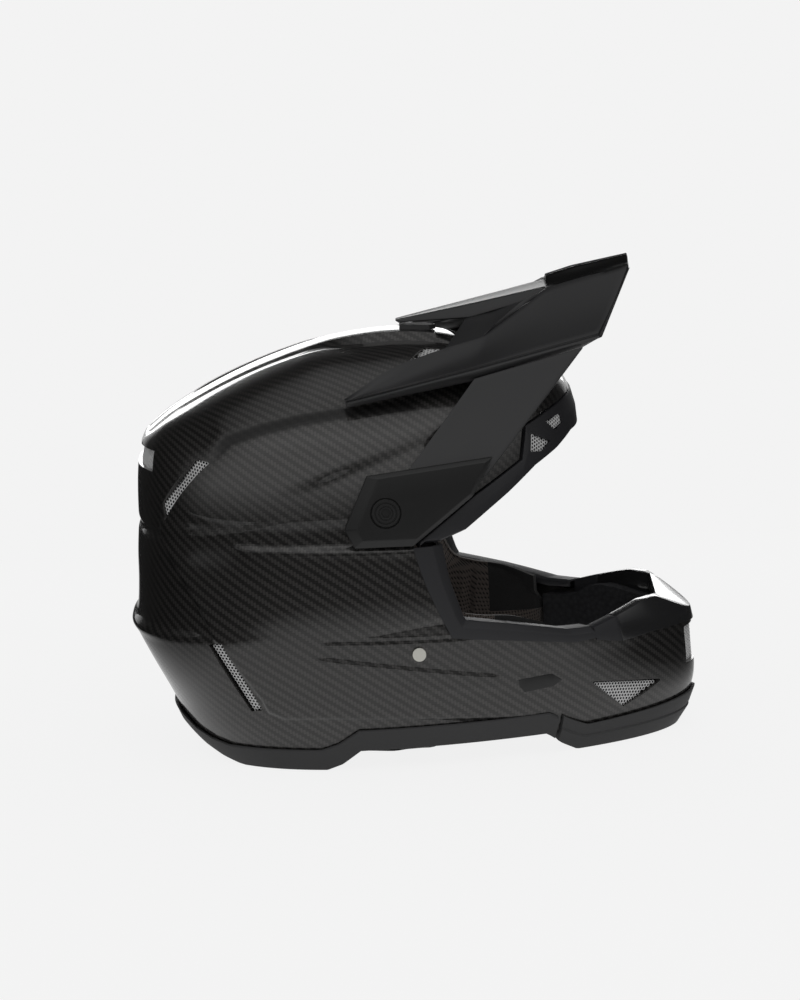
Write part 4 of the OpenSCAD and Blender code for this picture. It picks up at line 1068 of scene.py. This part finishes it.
def screens():
    for name, outline in (SHELL_VENTS | BROW_VENTS).items():
        brow = name in BROW_VENTS
        corners = seen(outline, BROW_SCREEN_G if brow else SCREEN_G)
        for side, turn in (("left", 1), ("right", -1)):
            node = BROW_NODE if brow else f"{name}_screen_{side}"
            honeycomb(f"{name}_mesh_{side}", corners * (1, turn, 1), node)
    for name, middle, spread, parts, z in MIDDLE_SCREENS:
        edges = middle + np.linspace(-spread, spread, parts + 1) + OFF_MIDDLE
        for k, pair_of in enumerate(zip(edges[:-1], edges[1:])):
            low = surf(np.array(pair_of), z[0], SCREEN_G)
            high = surf(np.array(pair_of[::-1]), z[1], SCREEN_G)
            honeycomb(f"{name}_mesh_{k + 1}", np.concatenate([low, high]), f"{name}_screen")


screens()

# Visor
VISOR_T = 2.6


def patch(name, low, high, rows=10, cols=36, bulge=0.0, thick=VISOR_T):
    """A moulded sheet between two edges, each a list of points, with a slight crown."""
    ends_of = []
    for line in (low, high):
        p = np.array(line, float)
        run = lengths(p, 0)
        ends_of.append(np.stack([np.interp(np.linspace(0, run[-1], cols), run, c) for c in p.T], -1))
    t = np.linspace(0, 1, rows)[:, None, None]
    grid = mix(ends_of[0][None], ends_of[1][None], t)
    n = np.cross(np.gradient(grid, axis=1), np.gradient(grid, axis=0))
    n = n / np.maximum(np.linalg.norm(n, axis=-1, keepdims=True), 1e-6)
    n = n * np.sign(n @ n.mean((0, 1)))[..., None]
    top = grid + n * (np.sin(np.pi * t) * bulge)
    count = rows * cols
    faces = grid_faces(rows, cols) + [f[::-1] for f in grid_faces(rows, cols, start=count)]
    rim = ([r * cols for r in range(rows)] + [(rows - 1) * cols + c for c in range(1, cols)]
           + [r * cols + cols - 1 for r in range(rows - 2, -1, -1)] + list(range(cols - 2, 0, -1)))
    faces += [[p, q, q + count, p + count] for p, q in zip(rim, rim[1:] + rim[:1])]
    return outward(mesh_object(name, [top, top - n * thick], faces), 0.01)


WING_LOW = places((-38, 98, 232.8), (42, 91, 248.7), (120, 84.5, 266))
WING_HIGH = places((-38, 96.5, 233.4), (-14, 84.6, 247.6), (0, 76, 252), (24, 64, 257), (50, 54, 262),
                 (80, 34, 279.5), (91, 25, 286.3), (143, 22, 299))
HOOD_LOW = places((90, 25.5, 285.8), (143, 22.5, 298.8))
HOOD_HIGH = places((91.5, 3, 291.4), (108, 3, 296.2), (143.5, 2, 302.7))
WEB = (places((24, 66.6, 255.5), (47, 57.1, 260), (55, 43, 265), (76, 26, 279), (92, 24.5, 286)),
       places((40, 16, 268), (58, 16.5, 272), (84, 17, 281), (93, 16.5, 286)))
ARM = (places((-6, 114, 186), (20, 114.5, 186), (46, 113.5, 186)),
       places((42, 89, 243), (76, 86, 251), (110, 83, 259)))
SPINE_WALL = (places((-3, 4, 267.2), (42, 15, 270), (84, 18, 281)),
              places((-5, 3, 268.4), (45, 11.5, 278), (92, 16, 287.8)))
SPINE_TOP = places((-5, 3, 268), (45, 11.5, 277.8), (93, 16, 287.5))
FLANGE_HANG = places((0, -1.2, -1.6), (0, -5, -5.5), (-11, -5, -5.5))
FLANGE_ROOT = places(0, 0.3, 1.2)
BEVEL_OUT = places((2.6, -2.5, 0.6)) * ((1.0,), (0.3,))
OTHER_SIDE = places(1, -1, 1)
HOOD_TOP_X, HOOD_TOP_Y = 89.0, 24.0
HOOD_TOP_LINE = [(88, 288.5), (143, 300.8)]


def visor():
    """The visor's moulding, joined from its wings, hood, flanges, arms, webs and spine."""
    front = places(WING_LOW[-1], WING_HIGH[-1])
    wing = patch("wing", WING_LOW, WING_HIGH, 14, 44, 2.0)
    parts = [
        patch("hood_side", HOOD_LOW, HOOD_HIGH, 8, 16, 0.8),
        patch("hood_top", HOOD_HIGH, HOOD_HIGH * OTHER_SIDE, 10, 16, 1.0),
        patch("flange", WING_LOW + FLANGE_HANG, WING_LOW + FLANGE_ROOT, 4, 30, 0.0, 2.2),
        patch("front_bevel", front, front + BEVEL_OUT, 3, 16, 0.0, 2.2),
        patch("web", *WEB, 8, 24),
        patch("arm", *ARM, 16, 18, 1.2),
        patch("spine_wall", *SPINE_WALL, 4, 20, 0.0, 2.0),
    ]
    parts += [mirror_y(p, "right") for p in parts + [wing] if p.name != "hood_top"]
    parts.append(patch("spine_top", SPINE_TOP, SPINE_TOP * OTHER_SIDE, 12, 24, 0.3, 1.4))
    for p in parts + [wing]:
        bevel(p, 0.5, 2, 50)
    combine(wing, parts, "UNION")
    wing.name = "visor_moulding"
    x, y, z = coordinates(wing.data).reshape(-1, 3).T / MM
    # the hood's top: glossier, and painted darker as shade for the visor material
    gloss_and_painted_shade = (x > HOOD_TOP_X) & (z > line_at(HOOD_TOP_LINE, x)) & (np.abs(y) < HOOD_TOP_Y)
    store(wing, "gloss_and_painted_shade", gloss_and_painted_shade.astype(float))
    piece(smooth(wing, 35), "visor", "visor_plastic", SATIN, "visor")


visor()

PLATE_OUTLINE = [(-11, 23), (67, 32), (54, 8), (16, -22), (-20, -22), (-26, -10)]
PLATE_CHAMFER = [2.0, 2.5, 2.5, 5.0, 7.0, 7.0]


def inset(outline, widths):
    """An outline moved inwards by a width of its own on each edge."""
    p = np.array(outline, float)
    n = len(p)
    lines = []
    for i in range(n):
        d = p[(i + 1) % n] - p[i]
        d /= np.linalg.norm(d)
        lines.append((p[i] + np.array([d[1], -d[0]]) * widths[i], d))
    out = []
    for i in range(n):
        (a, u), (b, v) = lines[i - 1], lines[i]
        t = np.linalg.solve(np.stack([u, -v], -1), b - a)[0]
        out.append(a + u * t)
    return np.array(out)


def side_plate():
    n = len(PLATE_OUTLINE)
    rings = [(PLATE_OUTLINE, 0), (PLATE_OUTLINE, PLATE_T - 2.6),
             (inset(PLATE_OUTLINE, PLATE_CHAMFER), PLATE_T)]
    points = [(PIVOT[0] + x, PLATE_Y + y, PIVOT[2] + z) for outline, y in rings for x, z in outline]
    faces = grid_faces(3, n, wrap=True) + [list(range(n)), list(range(2 * n, 3 * n))[::-1]]
    plate = bevel(outward(mesh_object("side_plate_left", points, faces)), 0.7, 3, 12)
    combine(plate, [rod(PIVOT, 4.06, PLATE_Y - 5, PLATE_Y + 10, 64),
                    rod(PIVOT, 9.7, PLATE_Y + PLATE_T - 2, PLATE_Y + 10, 96)])
    pair(plate, 12, "visor", "visor_plastic", POD, "visor_side_plate_{}")


SCREW_FACE = PLATE_Y + PLATE_T + 0.2
SCREW_SEAT = SCREW_FACE - 2.1
HEAD_R = 8.9
# The head's rings and socket, as radius and depth below its face
HEAD = [(8.5, 0), (7.0, 0), (6.8, 0.5), (6.3, 0.5), (6.1, 0), (4.6, 0), (4.4, 0.35), (4.0, 0.35),
        (3.8, 0.05), (2.6, 0.1), (2.4, 1.2), (0.05, 1.3)]
SOCKET_R = 3.1


def screws():
    steps = [(4, PLATE_Y - 6), (4, SCREW_SEAT), (8.5, SCREW_SEAT), (HEAD_R, SCREW_SEAT + 0.4),
             (HEAD_R, SCREW_FACE - 0.5)] + [(r, SCREW_FACE - deep) for r, deep in HEAD]
    head = lathe("screw_head_left", steps, PIVOT)
    combine(head, [rod(PIVOT, SOCKET_R, SCREW_FACE - 1.2, SCREW_FACE + 2, 6)])
    pair(head, 30, "screw_{}", "screw_plastic", SCREW, "visor_screw_{}")


BADGE = [(62, 53), (83.5, 54), (89.5, 49.5), (84, 46), (63, 44)]


def badge_plate():
    """A small bare plate on the right of the chin bar."""
    outline = refine(BADGE + BADGE[:1], 4)
    corners = np.concatenate([seen(outline, g) for g in (-0.6, 0.6)]) * (1, -1, 1)
    plate = bevel(hull(corners, "chin_bar_plate"), 0.3, 2, 30)
    piece(smooth(plate, 30), "helmet", "matte_trim", POD)


side_plate()
screws()
badge_plate()

# Pads and liners
PAD_TOP = [(-46, 100), (-38, 122), (-20, 133), (0, 137), (14, 133), (24, 116), (33, 99), (46, 94), (70, 91),
           (92, 84)]
PAD_BOTTOM = [(-46, 40), (-36, 28), (-10, 26), (60, 27), (84, 30), (92, 34)]
PAD_G = -SHELL_T - 6.8
PAD_EDGE_T = 15.0
PAD_CROWN = 13.0


def pad_surface(u, v, inner):
    """One face of a cheek pad, with seams across it and a step round the trim's wall."""
    x = mix(PAD_TOP[0][0], PAD_TOP[-1][0], u)
    z = mix(smooth_at(PAD_BOTTOM, x), smooth_at(PAD_TOP, x), v)
    b = np.sqrt(np.sin(np.pi * np.clip(u, 0, 1)) * np.sin(np.pi * np.clip(v, 0, 1)))
    step_in = (TRIM_DEPTH + TRIM_T + 3 + PAD_G) * np.clip((v - 0.6) / 0.2, 0, 1)
    step_in = step_in * np.clip((u - 0.3) / 0.12, 0, 1)
    if not inner:
        return surf(angle_at(x, z), z, PAD_G - np.maximum(2 * (1 - np.sqrt(b)), step_in))
    seam = 3 * np.exp(-((v - 0.42) / 0.035) ** 2) + 2.4 * np.exp(-((x - PANEL_X) / 2.2) ** 2)
    thick = mix(4, PAD_EDGE_T, b**0.6) + PAD_CROWN * b - seam * b
    return surf(angle_at(x, z), z, PAD_G - np.maximum(thick, step_in + 3))


def cheek_pads():
    u = 0.5 - 0.498 * np.cos(np.linspace(0, np.pi, 90))[:, None]
    v = 0.5 - 0.498 * np.cos(np.linspace(0, np.pi, 56))[None]
    back = pad_surface(u, v, False)
    face = pad_surface(u, v, True)
    left = loft("cheek_pad_left_cover", np.concatenate([back, face[:, ::-1]], 1))
    for pad in pair(left, 70, "helmet", "pad_fabric", PAD, "cheek_pad_{}"):
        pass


LINER_EDGE = [(-130, 112), (-60, 130), (-20, 150), (6, 162), (30, 173), (48, 186), (60, 196)]
LINER_G = -SHELL_T - 0.5 - 32 - 1.4
LINER_T = 7.0
QUILT = 2.2


def crown_liner():
    """A quilted bowl, from the top of its outer face down to the rim and up again inside."""
    a = (np.arange(160) + 0.5) * 360 / 160

    def bowl(g, t, grown):
        low = line_at(LINER_EDGE, ring(WIDE_Z, a, g)[..., 0])
        return surf(a, mix(low, foot(a, g)[..., 2], t), grown)

    shares = np.linspace(0, 0.9, 30)
    rows = [bowl(LINER_G, t, LINER_G) for t in shares[::-1]]
    for t in shares:
        quilt = QUILT * np.abs(np.sin(np.radians(a * 4))) ** 0.6 * math.sin(math.pi * max(t, 0.04)) ** 0.5
        rows.append(bowl(LINER_G - LINER_T, t, LINER_G - LINER_T - 1 + quilt))
    obj = loft("crown_liner_quilt", rows)
    piece(smooth(obj, 60), "helmet", "pad_fabric", LINER, "crown_comfort_liner")


ROLL_TOP = 51.6
ROLL_START = 116
ROLL_SPAN = 128
ROLL_G = -SHELL_T - 0.5


def neck_roll():
    s = np.linspace(0, 1, 14)
    swell = np.sin(np.pi * s)
    sections = []
    for a in np.linspace(ROLL_START, ROLL_START + ROLL_SPAN - 3, 90):
        t = np.clip((a - ROLL_START) / ROLL_SPAN, 0.01, 0.99)
        z = mix(line_at(BASE_LINE, surf(a, 40, 0)[0]) + BASE_LIFT + 9, ROLL_TOP, s)
        outer = surf(a, z, ROLL_G - 3 - 2 * (1 - swell))
        full = 16 * math.sin(math.pi * t) ** 0.4
        inner = surf(a, z[::-1], ROLL_G - 10 - full * np.sqrt(np.sin(np.pi * s[::-1])) * 0.98)
        sections.append(np.concatenate([outer, inner]))
    obj = loft("neck_roll_cover", sections)
    piece(smooth(obj, 60), "helmet", "pad_fabric", LINER, "neck_roll")


cheek_pads()
crown_liner()
neck_roll()

# Straps
STRAP_W = 20.0
STRAP_T = 1.6
STRAP_G = -SHELL_T - TRIM_GAP - TRIM_T - 0.8 - STRAP_T / 2
WIRE_R = 1.6
RING_Y, RING_Z = 60.0, 18.5
RING_STEP = 2 * WIRE_R + 0.6
LOOP_R = WIRE_R + 0.3 + STRAP_T / 2


def webbing(name, path, across, node):
    """A flat woven strap along given points."""
    fine = refine(np.concatenate([np.array(path, float), across], 1), 6)
    p, w = fine[:, :3], fine[:, 3:]
    for _ in range(3):
        p[1:-1] = (p[:-2] + 2 * p[1:-1] + p[2:]) / 4
    t = unit(np.gradient(p, axis=0))
    w = unit(w - t * np.sum(w * t, 1, keepdims=True))
    n = np.cross(t, w)
    flat = np.array([(-1, -1), (1, -1), (1, 1), (-1, 1)]) * (STRAP_W / 2, STRAP_T / 2)
    shape = rounded(flat, 0.7, 4)
    obj = loft(name, p[:, None] + shape[None, :, :1] * w[:, None] + shape[None, :, 1:] * n[:, None])
    cloth = np.zeros((len(p), len(shape), 3))
    cloth[..., 0] = lengths(p, 0)[:, None]
    cloth[..., 1] = shape[None, :, 0]
    store(obj, "weave", cloth, "FLOAT_VECTOR")
    piece(smooth(obj, 50), "helmet", "webbing", WEBBING, node)


def straps():
    down = [surf(angle_at(1, z), z, STRAP_G) for z in (84, 68, 52, 36, 26)]
    turn = np.radians(range(90, 271, 30))
    bend = [(1, RING_Y - RING_STEP + LOOP_R * math.cos(b), RING_Z + LOOP_R * math.sin(b)) for b in turn]
    left = down + [(1, 91, 22.2), (1, 80, RING_Z + LOOP_R + 0.6), (1, RING_Y + 4, RING_Z + LOOP_R)] + bend
    left += [(1, RING_Y + 3, RING_Z - LOOP_R), (1, RING_Y + 8, RING_Z - 0.6), (1, RING_Y + 15, RING_Z + 0.6)]
    webbing("strap_left_webbing", left, np.tile((1.0, 0, 0), (len(left), 1)), "strap_left")
    right = down + [(1, 88, 19), (1, 76, 13), (0, 64, 6), (-4, 54, 2.6), (-14, 46, 1.4), (-34, 41, 1.4),
                    (-62, 40, 1.4)]
    across = [(1, 0, 0)] * (len(right) - 3) + [(0.5, -1, 0)] * 3
    flip = np.array((1, -1, 1))
    webbing("strap_right_webbing", np.array(right) * flip, np.array(across) * flip, "strap_right")


straps()

# CAD nodes that stay
for kept, finish in (("cranial_foam", FOAM), ("chin_foam", FOAM), ("cheek_pad_snaps", SCREW),
                     ("d_ring_outer", STEEL), ("d_ring_inner", STEEL), ("strap_rivets", RIVET),
                     ("visor_washers", SCREW), ("visor_inserts", STEEL), ("crown_rest_pad", RUBBER)):
    dress(frame["nodes"][kept].data, finish)

# Room and light
WHITE = 0.896        # the photograph's background
TABLE_SEEN = 0.965   # the table's own part of it, next to what light and shadow give
LIT_TABLE_Y = -0.36  # in front of this line the table is dark in reflections
LIT_TABLE_X = 0.20   # and so it is beyond this far to either side
LIT_FADE = 0.12
TABLE_LEVEL = 0.60
DARK = 0.012
FRONT_LIGHT = 0.8    # a soft light in front, seen only in reflections
TOP_LIGHT = 0.55     # and a fainter one overhead
SKY = 0.55
LAMP_TARGET = (0, 0, 130)


def floor():
    """A white table with the helmet's shadow. What shines sees it lit near the helmet and far behind."""
    half = 12000.0
    table = mesh_object("table", [(-half, -half, 0), (half, -half, 0), (half, half, 0), (-half, half, 0)],
                        [[0, 1, 2, 3]])
    material = bpy.data.materials.new("table")
    g = Tree(material, empty=True)
    glossy, camera = g.ray("Glossy"), g.ray("Camera")
    x, y, _ = g.split(g.place())
    near_x = g.times(g.ramp(x, -LIT_TABLE_X - LIT_FADE, -LIT_TABLE_X),
                     g.ramp(x, LIT_TABLE_X + LIT_FADE, LIT_TABLE_X))
    side = g.math("DIVIDE", g.math("ABSOLUTE", x), g.math("MAXIMUM", y, 0.1))
    far_x = g.times(g.ramp(y, 1.0, 1.4), g.ramp(side, 0.42, 0.32))
    lit = g.times(g.ramp(y, LIT_TABLE_Y - LIT_FADE, LIT_TABLE_Y), g.math("MAXIMUM", near_x, far_x))
    far_front = g.times(g.ramp(y, -1.2, -2.2), FRONT_LIGHT * 0.6)
    mirrored = g.plus(g.either(lit, DARK, TABLE_LEVEL), far_front)
    behind = g.ramp(y, 0.35, 0.6)
    glow = g.either(glossy, g.either(behind, TABLE_SEEN, WHITE), mirrored)
    share = g.math("MAXIMUM", g.times(camera, g.either(behind, 0.88, 1.0)), glossy)
    diffuse = g.node("ShaderNodeBsdfDiffuse", {"Color": (0.82, 0.82, 0.82, 1)})
    emission = g.node("ShaderNodeEmission", {"Strength": glow})
    g.end("ShaderNodeOutputMaterial", g.node("ShaderNodeMixShader", {"Fac": share, 1: diffuse, 2: emission}))
    table.data.materials.append(material)


def world():
    """An even sky. What shines sees a soft light in front, dark sides and a white wall far behind."""
    studio = bpy.data.worlds.new("studio")
    bpy.context.scene.world = studio
    g = Tree(studio, empty=True)
    _, y, z = g.split(g.node("ShaderNodeTexCoord", out="Generated"))
    wall = g.times(g.ramp(y, 0.80, 0.92), g.ramp(z, 0.30, 0.20))
    front = g.times(g.times(g.ramp(y, 0.1, -0.4), g.ramp(z, -0.05, 0.35)), g.ramp(z, 0.98, 0.80))
    mirrored = g.plus(g.times(wall, WHITE), g.times(front, FRONT_LIGHT))
    mirrored = g.plus(g.plus(mirrored, g.times(g.ramp(z, 0.7, 0.95), TOP_LIGHT)), DARK)
    level = g.either(g.ray("Camera"), g.either(g.ray("Glossy"), SKY, mirrored), WHITE)
    g.end("ShaderNodeOutputWorld", g.node("ShaderNodeBackground", {"Strength": level}))


def softbox(name, place, size, radiance, mirrored=True):
    """A soft lamp of a given brightness, aimed at the helmet, which the camera never sees."""
    data = bpy.data.lights.new(name, "AREA")
    data.shape, data.size, data.size_y = "RECTANGLE", *size
    data.energy = radiance * math.pi * size[0] * size[1]
    lamp = placed(name, data)
    lamp.location = place
    aim = Vector(LAMP_TARGET) * MM - lamp.location
    lamp.rotation_euler = aim.to_track_quat("-Z", "Y").to_euler()
    lamp.visible_camera = False
    lamp.visible_glossy = mirrored


floor()
world()
softbox("key", (0.4, -1.8, 1.8), (1.6, 1.0), 0.9, mirrored=False)
softbox("back_strip", (0.0, 2.4, 0.53), (1.8, 0.66), 2.2)
